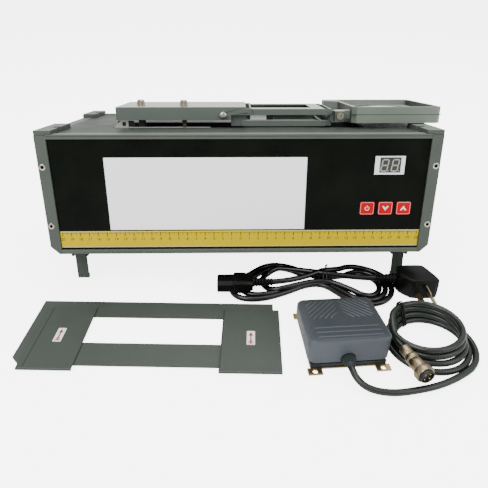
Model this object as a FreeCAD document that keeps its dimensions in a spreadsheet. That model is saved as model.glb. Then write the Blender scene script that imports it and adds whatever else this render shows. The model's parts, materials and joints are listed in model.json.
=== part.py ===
"""Industrial film viewer with a sprung magnifier arm, its foot switch, mains lead and film mask.

Two frames are used. The case frame has X to the right, Y to the back and Z up, with its origin at the
middle of the case's lower front edge; the case leans back on its tilt legs, so every case piece gets the
leaning placement.
The floor frame has the same X and is level, with its origin on the floor under the case's lower front edge.
"""

import FreeCAD, Part
import Sketcher
import math
import os
import re

SIZES = {
    # Where the model's origin lies in the floor frame, and how the case stands on its legs.
    "origin_x": 2.8645, "origin_y": 50.775, "tilt": 11, "front_lift": 44.05,
    # Case: half width, height and depth, the side frames, the sheet metal and the rails.
    "half_case": 215, "case_height": 133, "case_depth": 223, "inner_half": 203, "sheet": 1.5,
    "frame_wall": 3, "frame_lip": 5, "frame_chamfer": 9, "channel_low": 10, "rail_depth": 12,
    "top_rail_low": 129, "top_rail_high": 134, "low_rail": 5, "groove_low": 131, "groove_high": 132,
    "groove_depth": 0.8, "vent_count": 7, "vent_pitch": 42, "vent_width": 5, "vent_low": 120,
    "vent_high": 190,
    # Front panel, viewing window, ruler, display and keys.
    "panel_front": 2, "panel_back": 5, "window_left": -146, "window_right": 72, "window_low": 28,
    "window_high": 109.5, "window_gap": 0.1, "window_front": 2.4, "ruler_half": 202.5, "ruler_front": 1.2,
    "ruler_low": 7.7, "ruler_high": 27, "display_left": 145, "display_right": 178, "display_low": 90,
    "display_high": 110.5, "board_front": 12, "board_back": 13.6, "board_left": 100, "board_right": 198,
    "board_low": 30, "board_high": 122, "key_left": 140.8, "key_middle": 161.2, "key_right": 181.5,
    "key_height": 52.5, "key_half_width": 8, "key_half_height": 7.4, "key_gap": 0.3, "key_front": 0.8,
    "key_back": 9, "key_flange": 1, "flange_front": 5.4, "flange_back": 6.6, "switch_half": 3,
    "switch_front": 9.9,
    # Light box, its board of lamps, the heat sink and the power supply.
    "box_left": -150, "box_right": 76, "box_low": 24, "box_high": 112.5, "box_back": 45, "box_wall": 1.2,
    "lamp_board_front": 42, "lamp_half": 2, "lamp_depth": 0.8, "lamp_pitch_x": 24, "lamp_pitch_z": 20,
    "sink_left": -140, "sink_right": 66, "sink_low": 30, "sink_high": 107, "sink_base": 50,
    "sink_back": 76,
    "fin_pitch": 12, "fin_thick": 2, "supply_left": 95, "supply_right": 195, "supply_front": 70,
    "supply_back": 186, "supply_high": 42, "supply_wall": 1.2,
    # Rear panel with the two fans, the mains inlet with its rocker and the foot switch socket.
    "rear_front": 219, "rear_back": 221, "fan_left": -130, "fan_right": -45, "fan_height": 65,
    "fan_half": 30, "fan_front": 194, "fan_bore": 28, "fan_hub": 13, "fan_plate": 216.5, "strut_half": 2,
    "fan_pin": 2, "fan_pin_front": 200, "rotor_front": 197, "rotor_back": 214, "rotor_bore": 2.05,
    "blade_reach": 26.5, "blade_depth": 11, "blade_thick": 1.2, "blade_turn": 38, "inlet_left": 140,
    "inlet_right": 200, "inlet_low": 22, "inlet_high": 51, "inlet_flange": 223, "inlet_front": 198,
    "recess_left": 144, "recess_right": 170, "recess_low": 28, "recess_high": 45, "recess_front": 206,
    "inlet_pin": 1.9, "rocker_x": 184.5, "rocker_height": 36.5, "rocker_half_width": 6.2,
    "rocker_half_height": 9, "rocker_front": 215, "rocker_back": 224.5, "rocker_rest": 8,
    "rocker_gap": 0.4,
    "rocker_pin": 1.2, "rocker_pin_reach": 8, "cavity_half_height": 11.2, "cavity_front": 208,
    "socket_x": 60, "socket_height": 36, "socket_thread": 8, "socket_flange": 10.5, "socket_back": 231,
    "socket_front": 206, "socket_bore": 6.3, "socket_floor": 222,
    # Top tray that the arm stands in, the corner pads, the feet and the tilt legs.
    "tray_half": 148, "tray_front": 62, "tray_back": 115, "tray_floor": 113.5, "bracket_left": -141,
    "bracket_right": -122.8, "bracket_high": 141, "pad_left": 197, "pad_high": 138, "pad_front_end": 65,
    "pad_rear_start": 170, "notch_inner": 204, "notch_start": 26, "notch_end": 36,
    "rear_notch_start": 190,
    "rear_notch_end": 200, "foot_x": 187, "foot_y": 192, "foot_radius": 8, "foot_high": 6, "leg_x": 190,
    "leg_pivot_y": 22, "leg_pivot_z": -6, "leg_half_width": 6.25, "leg_boss": 3.6, "leg_pin": 1.5,
    "leg_bore": 1.55, "leg_tip_y": 23.5, "leg_tip_z": -37.25, "leg_tip": 3, "leg_half_thick": 2,
    "base_half": 9.5, "base_front": 6, "base_back": 30, "base_plate": 2, "ear_gap": 0.3,
    "ear_front": 17.5,
    "ear_back": 27, "ear_low": -10, "screw_x": 210.7, "screw_low": 33.5, "screw_high": 99.8,
    "screw_head": 3.3, "screw_head_depth": 1.2, "screw_shaft": 1.75,
    # Arm base channel, its post, its lock screw and the friction knob.
    "arm_front": 55, "arm_back": 135, "base_left": -141, "base_web_end": 7, "base_web_low": 155.2,
    "base_web_high": 156.7, "base_flange_low": 142.4, "base_step": -10, "base_flange_step": 147.6,
    "base_end": 14, "post_x": -114, "post_y": 68, "post_shaft": 4, "post_bore": 4.05, "post_collar": 9,
    "post_collar_low": 133, "post_shoulder": 155.1, "post_gap": 0.3, "knob_radius": 4.5, "knob_high": 164,
    "lock_x": -64, "lock_y": 62, "lock_shaft": 2.5, "lock_bore": 2.55, "lock_low": 134, "tension_x": -19,
    "tension_z": 147.4, "tension_radius": 4.5, "tension_front": 50.5, "tension_shaft": 2,
    "tension_bore": 2.05, "tension_back": 60,
    # Parallelogram: pivots A and B on the base, C and D on the head carrier, and the width of each layer.
    "pivot_a_x": 10, "pivot_a_z": 151, "pivot_b_x": 5, "pivot_b_z": 138, "arm_length": 93, "pin": 1.5,
    "pin_bore": 1.55, "open_bore": 1.9, "upper_inset": 2, "lower_inset": 4.3, "carrier_inset": 7.5,
    "ear_inset": 6.4, "link": 1.5, "upper_half": 3.35, "lower_half": 3.1, "upper_web_left": 12,
    "upper_web_right": 98, "upper_web_low": 152.8, "upper_web_high": 154.3, "upper_hole_right": 84,
    "upper_hole_front": 75, "upper_hole_back": 125, "spring_inset": 12.5, "spring_z": 144.4,
    "spring_radius": 3, "spring_bore": 2.2, "spring_left": 39, "spring_right": 84, "block_left": 12,
    "block_split": 31, "block_low": 141.4, "block_high": 147.2, "block_inset": 9.4, "block_depth": 6,
    "bar_right": 87.5,
    # Head carrier, its socket screw, and the lens frame that tilts about it.
    "web_left": 105.2, "web_right": 106.7, "carrier_low": 135, "carrier_high": 153.5, "carrier_boss": 2.9,
    "neck_front": 59.2, "neck_left": 104.2, "head_left": 108.3, "head_right": 119, "head_low": 141,
    "head_high": 152.5, "head_front": 50, "head_back": 62.5, "tilt_x": 113.6, "tilt_z": 147.3,
    "head_shaft": 2, "head_bore": 2.05, "head_cap": 4, "head_cap_front": 46.5, "socket_key": 1.7,
    "lug_front": 62.9, "lug_back": 74, "lug_radius": 4.8, "lens_left": 128, "lens_right": 230,
    "lens_front": 50, "lens_back": 168, "lens_step_left": 112, "lens_step_front": 138, "lens_corner": 5,
    "lens_low": 139, "lens_high": 157, "lens_x": 180, "lens_y": 110, "lens_radius": 46, "lens_seat": 43,
    "lens_seat_high": 142, "lens_rim": 4.5, "lens_rim_right": 3.6, "lens_ledge": 150, "lens_crown": 9,
    "lens_edge": 143.5,
    # Foot switch, in its own frame: middle of the cord side's lower edge.
    "pedal_x": 101.75, "pedal_y": -133.85, "pedal_turn": 3.8, "pedal_half": 39.5, "pedal_depth": 73,
    "pedal_plate": 1.6, "tab_x": 33, "tab_half": 7, "tab_reach": 7.2, "tab_hole": 2.4,
    "tab_hole_inset": 3.6, "flange_half": 37,
    "flange_inset": 1, "flange_high": 6, "shell_half": 35.5, "shell_inset": 4, "shell_high": 18.4,
    "cavity_half": 32, "cavity_inset": 7.5, "cavity_floor": 3.6, "lug_inner": 30, "hinge_y": 9.5,
    "hinge_z": 20, "hinge_pin": 2, "hinge_bore": 2.05, "hinge_lug_half": 4.5, "cover_front_high": 36,
    "cover_back_high": 27.5, "skirt_front": 8.5, "skirt_back": 12, "cover_wall": 2.5, "cover_top": 3,
    "gland_x": -1.5, "gland_z": 12, "gland_radius": 5, "gland_notch": 7.4, "gland_front": -7.5,
    "pedal_spring_y": 48, "pedal_spring_radius": 6, "pedal_spring_bore": 4.8, "spring_top_gap": 0.3,
    "switch_x": -16, "switch_y": 40, "micro_half": 10, "micro_depth": 6, "micro_high": 15,
    # Foot switch cord, its coil and its round plug, in the floor frame.
    "cord_radius": 3.2, "coil_x": 188.5, "coil_y": -106, "coil_radius": 46, "coil_hole_x": 190,
    "coil_hole_y": -101, "coil_hole": 20, "coil_high": 24, "plug_end_x": 155, "plug_end_y": -125,
    "plug_tip_x": 165, "plug_tip_y": -160, "connector_z": 16, "connector_radius": 6.6,
    "connector_bore": 6.5, "connector_ring": 9,
    "connector_length": 38, "connector_gap": 0.5,
    # Mains lead: appliance connector, hank and right-angle plug, in the floor frame.
    "c13_left": -27, "c13_y": -15.5, "c13_slot_deep": 12, "c13_slot_half": 1.6, "c13_slot_tall": 2.6,
    "c13_half": 11, "c13_low": 7.2, "c13_high": 21.2, "c13_nose": -8, "c13_neck": 12,
    "c13_end": 31, "hank_high": 23.1, "low_fold_high": 7, "floor_gap": 0.1, "hank_right": 181,
    "plug_high": 25, "blade_half": 3.1,
    "blade_thickness": 1.6, "blade_length": 18, "plug_face": -31.5, "plug_pin_left": 201,
    "plug_pin_middle": 207.75, "plug_pin_right": 214.5, "plug_pin_low": 8, "plug_pin_high": 18,
    # Film mask with its two sliding shutters, in its own frame: middle of the frame sheet, on the floor.
    "mask_x": -94.3, "mask_y": -79, "mask_turn": -2.1, "mask_half": 128.5, "mask_front": -51.5,
    "mask_back": 44, "mask_corner": 9,
    "mask_sheet": 1.2, "mask_window_left": -98, "mask_window_right": 92, "mask_window_low": -21,
    "mask_window_high": 18,
    "left_shutter_half": 26.7, "right_shutter_half": 30.3, "shutter_low": -57, "shutter_high": 32,
    "shutter_thick": 1.2,
    "left_shutter_x": -92.3, "right_shutter_x": 104.3, "shutter_gap": 0.3,
}

doc = FreeCAD.newDocument("film_viewer")
sheet = doc.addObject("Spreadsheet::Sheet", "sizes")
for row, (word, number) in enumerate(SIZES.items(), start=1):
    sheet.set("A%d" % row, word)
    sheet.set("B%d" % row, str(number))
    sheet.setAlias("B%d" % row, word)
doc.recompute()

NODES = {}
TURN = {
    "x": FreeCAD.Rotation(FreeCAD.Vector(0, 1, 0), 90),
    "y": FreeCAD.Rotation(FreeCAD.Vector(1, 0, 0), -90),
    "z": FreeCAD.Rotation(),
}
PLANES = {"x": ("YZ_Plane", 1), "y": ("XZ_Plane", -1), "z": ("XY_Plane", 1)}


def cell(word):
    """A driving dimension, as the sheet holds it."""
    return float(sheet.get(word))


def text(formula):
    """A formula whose words are read from the sheet."""
    return re.sub(r"[a-z][a-z_0-9]*", lambda m: "sizes." + m[0] if m[0] in SIZES else m[0], str(formula))


def worth(formula):
    """The number that a formula gives now, for a sketch's first drawing."""
    return float(sheet.evalExpression(text(formula)))


def block(name, x, y, z):
    """A box between two formulas along each axis."""
    box = doc.addObject("Part::Box", name)
    for size, axis, (low, high) in (("Length", "x", x), ("Width", "y", y), ("Height", "z", z)):
        box.setExpression("Placement.Base." + axis, text(low))
        box.setExpression(size, text("(%s) - (%s)" % (high, low)))
    return box


def rod(name, along, at, span, radius, tip_radius=None):
    """A cylinder, or a cone, along an axis: at holds the other two coordinates in X, Y, Z order."""
    kind = "Part::Cylinder" if tip_radius is None else "Part::Cone"
    piece = doc.addObject(kind, name)
    piece.Placement = FreeCAD.Placement(FreeCAD.Vector(), TURN[along])
    others = [axis for axis in "xyz" if axis != along]
    for axis, formula in zip(others + [along], [at[0], at[1], span[0]]):
        piece.setExpression("Placement.Base." + axis, text(formula))
    piece.setExpression("Height", text("(%s) - (%s)" % (span[1], span[0])))
    if tip_radius is None:
        piece.setExpression("Radius", text(radius))
    else:
        piece.setExpression("Radius1", text(radius))
        piece.setExpression("Radius2", text(tip_radius))
    return piece


def fuse(name, pieces):
    """One solid from pieces that touch."""
    joined = doc.addObject("Part::MultiFuse", name)
    joined.Shapes = pieces
    joined.Refine = True
    return joined


def group(name, pieces):
    """Separate solids of one node."""
    together = doc.addObject("Part::Compound", name)
    together.Links = pieces
    return together


def cut(name, base, tools):
    """A piece less its tools."""
    piece = doc.addObject("Part::Cut", name)
    piece.Base = base
    piece.Tool = tools[0] if len(tools) == 1 else fuse(name + "_tools", tools)
    piece.Refine = True
    return piece


def rectangle(low, high):
    """Corner formulas of a rectangle from its low and high corner."""
    return [(low[0], low[1]), (high[0], low[1]), (high[0], high[1]), (low[0], high[1])]


def draw_outline(sketch, corners):
    """A closed outline whose corners are bound to the sheet."""
    points = [FreeCAD.Vector(worth(u), worth(v), 0) for u, v in corners]
    first = sketch.GeometryCount
    count = len(points)
    for n, point in enumerate(points):
        sketch.addGeometry(Part.LineSegment(point, points[(n + 1) % count]), False)
    for n, (u, v) in enumerate(corners):
        line, after = first + n, first + (n + 1) % count
        sketch.addConstraint(Sketcher.Constraint("Coincident", line, 2, after, 1))
        for kind, formula, number in (("DistanceX", u, points[n].x), ("DistanceY", v, points[n].y)):
            index = sketch.addConstraint(Sketcher.Constraint(kind, -1, 1, line, 1, number))
            sketch.setExpression("Constraints[%d]" % index, text(formula))


def draw_circle(sketch, centre, radius):
    """A circle bound to the sheet."""
    middle = FreeCAD.Vector(worth(centre[0]), worth(centre[1]), 0)
    ring = sketch.addGeometry(Part.Circle(middle, FreeCAD.Vector(0, 0, 1), worth(radius)), False)
    for constraint, formula in (
        (Sketcher.Constraint("DistanceX", -1, 1, ring, 3, middle.x), centre[0]),
        (Sketcher.Constraint("DistanceY", -1, 1, ring, 3, middle.y), centre[1]),
        (Sketcher.Constraint("Radius", ring, worth(radius)), radius),
    ):
        index = sketch.addConstraint(constraint)
        sketch.setExpression("Constraints[%d]" % index, text(formula))


def shape_body(body, kind, along, span, outlines=(), circles=()):
    """Pad or pocket closed outlines along an axis, between two formulas."""
    role, sign = PLANES[along]
    sketch = body.newObject("Sketcher::SketchObject", body.Name + "_sketch")
    plane = [feature for feature in body.Origin.OriginFeatures if feature.Role == role][0]
    sketch.AttachmentSupport = [(plane, "")]
    sketch.MapMode = "FlatFace"
    low, high = span
    start = low if (kind == "Pad") == (sign > 0) else high
    sketch.setExpression("AttachmentOffset.Base.z", text("%d * (%s)" % (sign, start)))
    for corners in outlines:
        draw_outline(sketch, corners)
    for centre, radius in circles:
        draw_circle(sketch, centre, radius)
    feature = body.newObject("PartDesign::" + kind, body.Name + "_" + kind.lower())
    feature.Profile = sketch
    feature.setExpression("Length", text("(%s) - (%s)" % (high, low)))
    doc.recompute()
    return feature


def new_body(name):
    return doc.addObject("PartDesign::Body", name)


LEANING = FreeCAD.Placement(
    FreeCAD.Vector(-cell("origin_x"), -cell("origin_y"), cell("front_lift")),
    FreeCAD.Rotation(FreeCAD.Vector(1, 0, 0), -cell("tilt")),
)
LEVEL = FreeCAD.Placement(FreeCAD.Vector(-cell("origin_x"), -cell("origin_y"), 0), FreeCAD.Rotation())


def lying(x, y, turn):
    """The placement of something that lies on the floor, turned about the vertical."""
    here = FreeCAD.Vector(cell(x), cell(y), 0)
    return LEVEL.multiply(FreeCAD.Placement(here, FreeCAD.Rotation(FreeCAD.Vector(0, 0, 1), cell(turn))))


def node(label, piece, placement):
    """Name a finished sub-part and put it in its place. A bare primitive is wrapped to keep its own place."""
    if piece.TypeId in ("Part::Box", "Part::Cylinder"):
        piece = group(label + "_group", [piece])
    piece.Label = label
    piece.Placement = placement.multiply(piece.Placement)
    NODES[label] = piece


def mirrored_x(formula, side):
    """A formula on the right side, or its mirror on the left."""
    return "%d * (%s)" % (side, formula)


def ordered(side, low, high):
    """A span on the right side, or its mirror on the left, lowest first."""
    pair = (mirrored_x(low, side), mirrored_x(high, side))
    return pair if side > 0 else pair[::-1]


# ---------------------------------------------------------------- case


def make_covers():
    span = ("rail_depth", "case_depth - rail_depth")
    low, high = ("-inner_half", span[0]), ("inner_half", span[1])
    bottom = new_body("bottom_cover_body")
    shape_body(bottom, "Pad", "z", ("0", "sheet"), [rectangle(low, high)])
    slots = []
    for n in range(int(cell("vent_count"))):
        middle = "(%d - (vent_count - 1) / 2) * vent_pitch" % n
        slots.append(
            rectangle((middle + " - vent_width", "vent_low"), (middle + " + vent_width", "vent_high"))
        )
    shape_body(bottom, "Pocket", "z", ("0", "sheet"), slots)
    node("bottom_cover", bottom, LEANING)
    top = new_body("top_cover_body")
    shape_body(top, "Pad", "z", ("case_height - sheet", "case_height"), [rectangle(low, high)])
    opening = rectangle(("-tray_half", "tray_front"), ("tray_half", "tray_back"))
    shape_body(top, "Pocket", "z", ("case_height - sheet", "case_height"), [opening])
    node("top_cover", top, LEANING)


def make_side_frame(label, side):
    """A hollow side frame with a front and a rear lip, drawn for one side."""
    frame = new_body(label + "_body")
    corners = [
        ("inner_half", "0"), ("half_case - frame_chamfer", "0"), ("half_case", "frame_chamfer"),
        ("half_case", "case_height"), ("inner_half", "case_height"),
    ]
    outline = [(mirrored_x(x, side), z) for x, z in corners]
    shape_body(frame, "Pad", "y", ("0", "case_depth"), [outline])
    hollow = rectangle(("frame_lip", "channel_low"), ("case_depth - frame_lip", "case_height - frame_lip"))
    shape_body(frame, "Pocket", "x", ordered(side, "inner_half", "half_case - frame_wall"), [hollow])
    for lip, head in (
        (("0", "frame_lip"), ("0", "screw_head_depth")),
        (("case_depth - frame_lip", "case_depth"), ("case_depth - screw_head_depth", "case_depth")),
    ):
        places = [(mirrored_x("screw_x", side), z) for z in ("screw_low", "screw_high")]
        shape_body(frame, "Pocket", "y", lip, circles=[(place, "screw_shaft") for place in places])
        shape_body(frame, "Pocket", "y", head, circles=[(place, "screw_head + 0.1") for place in places])
    node(label, frame, LEANING)


def make_screws():
    """Eight identical screws that hold the side frames, four in front and four behind."""
    screws = []
    for side in (-1, 1):
        for height in ("screw_low", "screw_high"):
            at = (mirrored_x("screw_x", side), height)
            front = [
                rod("screw_head", "y", at, ("0", "screw_head_depth"), "screw_head"),
                rod("screw_shaft", "y", at, ("screw_head_depth", "frame_lip"), "screw_shaft"),
            ]
            rear = [
                rod("screw_head", "y", at, ("case_depth - screw_head_depth", "case_depth"), "screw_head"),
                rod(
                    "screw_shaft",
                    "y",
                    at,
                    ("case_depth - frame_lip", "case_depth - screw_head_depth"),
                    "screw_shaft",
                ),
            ]
            screws += [fuse("screw", front), fuse("screw", rear)]
    node("case_screws", group("case_screws_group", screws), LEANING)


def make_rails():
    across = ("-inner_half", "inner_half")
    front, rear = ("0", "rail_depth"), ("case_depth - rail_depth", "case_depth")
    upper, lower = ("top_rail_low", "top_rail_high"), ("0", "low_rail")
    grooved = cut(
        "front_top_rail",
        block("front_top_rail_bar", across, front, upper),
        [block("front_top_rail_groove", across, ("0", "groove_depth"), ("groove_low", "groove_high"))],
    )
    rails = [
        grooved,
        block("front_low_rail", across, front, lower),
        block("rear_top_rail", across, rear, upper),
        block("rear_low_rail", across, rear, lower),
    ]
    node("cross_rails", group("cross_rails_group", rails), LEANING)


def key_opening(x, margin):
    """A rectangle round a key, larger than its cap by a margin."""
    reach_x, reach_z = "key_half_width + " + margin, "key_half_height + " + margin
    low = ("%s - (%s)" % (x, reach_x), "key_height - (%s)" % reach_z)
    high = ("%s + (%s)" % (x, reach_x), "key_height + (%s)" % reach_z)
    return rectangle(low, high)


KEYS = {"key_power": "key_left", "key_down": "key_middle", "key_up": "key_right"}


def make_front():
    panel = new_body("front_panel_body")
    face = rectangle(("-inner_half", "low_rail"), ("inner_half", "top_rail_low"))
    shape_body(panel, "Pad", "y", ("panel_front", "panel_back"), [face])
    holes = [
        rectangle(("window_left", "window_low"), ("window_right", "window_high")),
        rectangle(("display_left", "display_low"), ("display_right", "display_high")),
    ]
    holes += [key_opening(x, "key_gap") for x in KEYS.values()]
    shape_body(panel, "Pocket", "y", ("panel_front", "panel_back"), holes)
    node("front_panel", panel, LEANING)

    window = block(
        "window_block",
        ("window_left + window_gap", "window_right - window_gap"),
        ("window_front", "panel_back"),
        ("window_low + window_gap", "window_high - window_gap"),
    )
    node("window_diffuser", window, LEANING)
    ruler = block(
        "ruler_block",
        ("-ruler_half", "ruler_half"),
        ("ruler_front", "panel_front"),
        ("ruler_low", "ruler_high"),
    )
    node("ruler_strip", ruler, LEANING)
    display = block(
        "display_block",
        ("display_left + window_gap", "display_right - window_gap"),
        ("window_front", "board_front"),
        ("display_low + window_gap", "display_high - window_gap"),
    )
    node("display_module", display, LEANING)


def make_keys():
    for label, x in KEYS.items():
        key = new_body(label + "_body")
        shape_body(key, "Pad", "y", ("key_front", "key_back"), [key_opening(x, "0")])
        shape_body(key, "Pad", "y", ("flange_front", "flange_back"), [key_opening(x, "key_flange")])
        node(label, key, LEANING)


def make_control_board():
    pieces = [
        block(
            "board",
            ("board_left", "board_right"),
            ("board_front", "board_back"),
            ("board_low", "board_high"),
        ),
    ]
    for x in KEYS.values():
        pieces.append(block(
            "tact_switch",
            ("%s - switch_half" % x, "%s + switch_half" % x),
            ("switch_front", "board_front"),
            ("key_height - switch_half", "key_height + switch_half"),
        ))
    chips = ((108, 40, 16, 12, 4), (130, 62, 12, 20, 5), (112, 90, 20, 8, 4), (160, 70, 10, 10, 12))
    for left, low, width, height, depth in chips:
        pieces.append(block(
            "chip",
            ("board_left + %d" % (left - 100), "board_left + %d" % (left - 100 + width)),
            ("board_back", "board_back + %d" % depth),
            ("board_low + %d" % (low - 30), "board_low + %d" % (low - 30 + height)),
        ))
    node("control_board", fuse("control_board_fuse", pieces), LEANING)


def make_light():
    outer = block(
        "light_box_outer", ("box_left", "box_right"), ("panel_back", "box_back"), ("box_low", "box_high")
    )
    inner = block(
        "light_box_inner",
        ("box_left + box_wall", "box_right - box_wall"),
        ("panel_back", "box_back - box_wall"),
        ("box_low + box_wall", "box_high - box_wall"),
    )
    node("light_box", cut("light_box_cut", outer, [inner]), LEANING)

    pieces = [block(
        "lamp_board_plate",
        ("window_left", "window_right"),
        ("lamp_board_front", "box_back - box_wall"),
        ("window_low", "window_high"),
    )]
    for column in range(9):
        for line in range(4):
            x = "(window_left + window_right) / 2 + (%d - 4) * lamp_pitch_x" % column
            z = "(window_low + window_high) / 2 + (%d - 1.5) * lamp_pitch_z" % line
            pieces.append(block(
                "lamp",
                ("%s - lamp_half" % x, "%s + lamp_half" % x),
                ("lamp_board_front - lamp_depth", "lamp_board_front"),
                ("%s - lamp_half" % z, "%s + lamp_half" % z),
            ))
    node("led_board", fuse("led_board_fuse", pieces), LEANING)

    fins = [
        block(
            "sink_base_plate",
            ("sink_left", "sink_right"),
            ("box_back", "sink_base"),
            ("sink_low", "sink_high"),
        ),
    ]
    for n in range(int((cell("sink_right") - cell("sink_left")) / cell("fin_pitch")) + 1):
        left = "sink_left + %d * fin_pitch" % n
        fins.append(
            block(
                "fin", (left, left + " + fin_thick"), ("sink_base", "sink_back"), ("sink_low", "sink_high")
            ),
        )
    node("heat_sink", fuse("heat_sink_fuse", fins), LEANING)


def make_power_supply():
    outer = block(
        "supply_outer",
        ("supply_left", "supply_right"),
        ("supply_front", "supply_back"),
        ("sheet", "supply_high"),
    )
    inner = block(
        "supply_inner",
        ("supply_left + supply_wall", "supply_right - supply_wall"),
        ("supply_front", "supply_back - supply_wall"),
        ("sheet + supply_wall", "supply_high - supply_wall"),
    )
    shell = cut("supply_shell", outer, [inner])
    terminals = block(
        "supply_terminals",
        ("supply_left + supply_wall", "supply_right - supply_wall"),
        ("supply_front + 2", "supply_front + 16"),
        ("sheet + supply_wall", "supply_high / 2"),
    )
    node("power_supply", fuse("power_supply_fuse", [shell, terminals]), LEANING)


# ---------------------------------------------------------------- rear of the case


def make_rear():
    panel = new_body("rear_panel_body")
    face = rectangle(("-inner_half", "low_rail"), ("inner_half", "top_rail_low"))
    shape_body(panel, "Pad", "y", ("rear_front", "rear_back"), [face])
    holes = [(("fan_left", "fan_height"), "fan_bore"), (("fan_right", "fan_height"), "fan_bore")]
    holes.append((("socket_x", "socket_height"), "socket_thread"))
    module = rectangle(("inlet_left + 2", "inlet_low + 2"), ("inlet_right - 2", "inlet_high - 2"))
    shape_body(panel, "Pocket", "y", ("rear_front", "rear_back"), [module], holes)
    node("rear_panel", panel, LEANING)


def make_inlet():
    """Mains inlet with three pins, in one housing with the rocker's cavity."""
    housing = fuse("inlet_housing", [
        block(
            "inlet_body",
            ("inlet_left + 2", "inlet_right - 2"),
            ("inlet_front", "rear_back"),
            ("inlet_low + 2", "inlet_high - 2"),
        ),
        block(
            "inlet_plate",
            ("inlet_left", "inlet_right"),
            ("rear_back", "inlet_flange"),
            ("inlet_low", "inlet_high"),
        ),
    ])
    recess = block(
        "inlet_recess",
        ("recess_left", "recess_right"),
        ("recess_front", "inlet_flange"),
        ("recess_low", "recess_high"),
    )
    cavity = block(
        "rocker_cavity",
        ("rocker_x - rocker_half_width - rocker_gap", "rocker_x + rocker_half_width + rocker_gap"),
        ("cavity_front", "inlet_flange"),
        ("rocker_height - cavity_half_height", "rocker_height + cavity_half_height"),
    )
    pivot_hole = rod(
        "rocker_pin_hole", "x", ("rear_back", "rocker_height"),
        ("rocker_x - rocker_pin_reach - 0.1", "rocker_x + rocker_pin_reach + 0.1"), "rocker_pin + 0.05",
    )
    shell = cut("inlet_shell", housing, [recess, cavity, pivot_hole])
    pins = []
    middle = "(recess_left + recess_right) / 2"
    for dx, dz in ((-7, -1.5), (7, -1.5), (0, 3)):
        x, z = "%s + %d" % (middle, dx), "(recess_low + recess_high) / 2 + %s" % dz
        pins.append(block(
            "inlet_pin_block",
            ("%s - inlet_pin / 2" % x, "%s + inlet_pin / 2" % x),
            ("recess_front", "inlet_flange - 3"),
            ("%s - inlet_pin" % z, "%s + inlet_pin" % z),
        ))
    node("mains_inlet", fuse("mains_inlet_fuse", [shell] + pins), LEANING)

    rocker = new_body("power_rocker_body")
    profile = rectangle(
        (
            "rocker_front - rear_back", "-rocker_half_height"
        ), ("rocker_back - rear_back", "rocker_half_height")
    )
    shape_body(rocker, "Pad", "x", ("-rocker_half_width", "rocker_half_width"), [profile])
    pivot = FreeCAD.Vector(cell("rocker_x"), cell("rear_back"), cell("rocker_height"))
    rocker.Placement = FreeCAD.Placement(
        pivot, FreeCAD.Rotation(FreeCAD.Vector(1, 0, 0), -cell("rocker_rest"))
    )
    pin = rod(
        "rocker_pin_rod", "x", ("rear_back", "rocker_height"),
        ("rocker_x - rocker_pin_reach", "rocker_x + rocker_pin_reach"), "rocker_pin",
    )
    node("power_rocker", fuse("power_rocker_fuse", [rocker, pin]), LEANING)


def make_foot_socket():
    at = ("socket_x", "socket_height")
    solid = fuse("socket_solid", [
        rod("socket_barrel", "y", at, ("socket_front", "rear_front"), "socket_thread"),
        rod("socket_neck", "y", at, ("rear_front", "socket_back"), "socket_thread"),
        rod("socket_ring", "y", at, ("rear_back", "rear_back + 2"), "socket_flange"),
    ])
    hollow = cut(
        "socket_hollow",
        solid,
        [rod("socket_hole", "y", at, ("socket_floor", "socket_back"), "socket_bore")],
    )
    pins = [
        rod(
            "socket_pin",
            "y",
            ("socket_x + %d" % dx, "socket_height + %d" % dz),
            ("socket_floor", "socket_back - 2"),
            "0.8",
        )
        for dx, dz in ((-2, -2), (2, -2), (-2, 2), (2, 2))
    ]
    node("foot_switch_socket", fuse("foot_socket_fuse", [hollow] + pins), LEANING)


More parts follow.
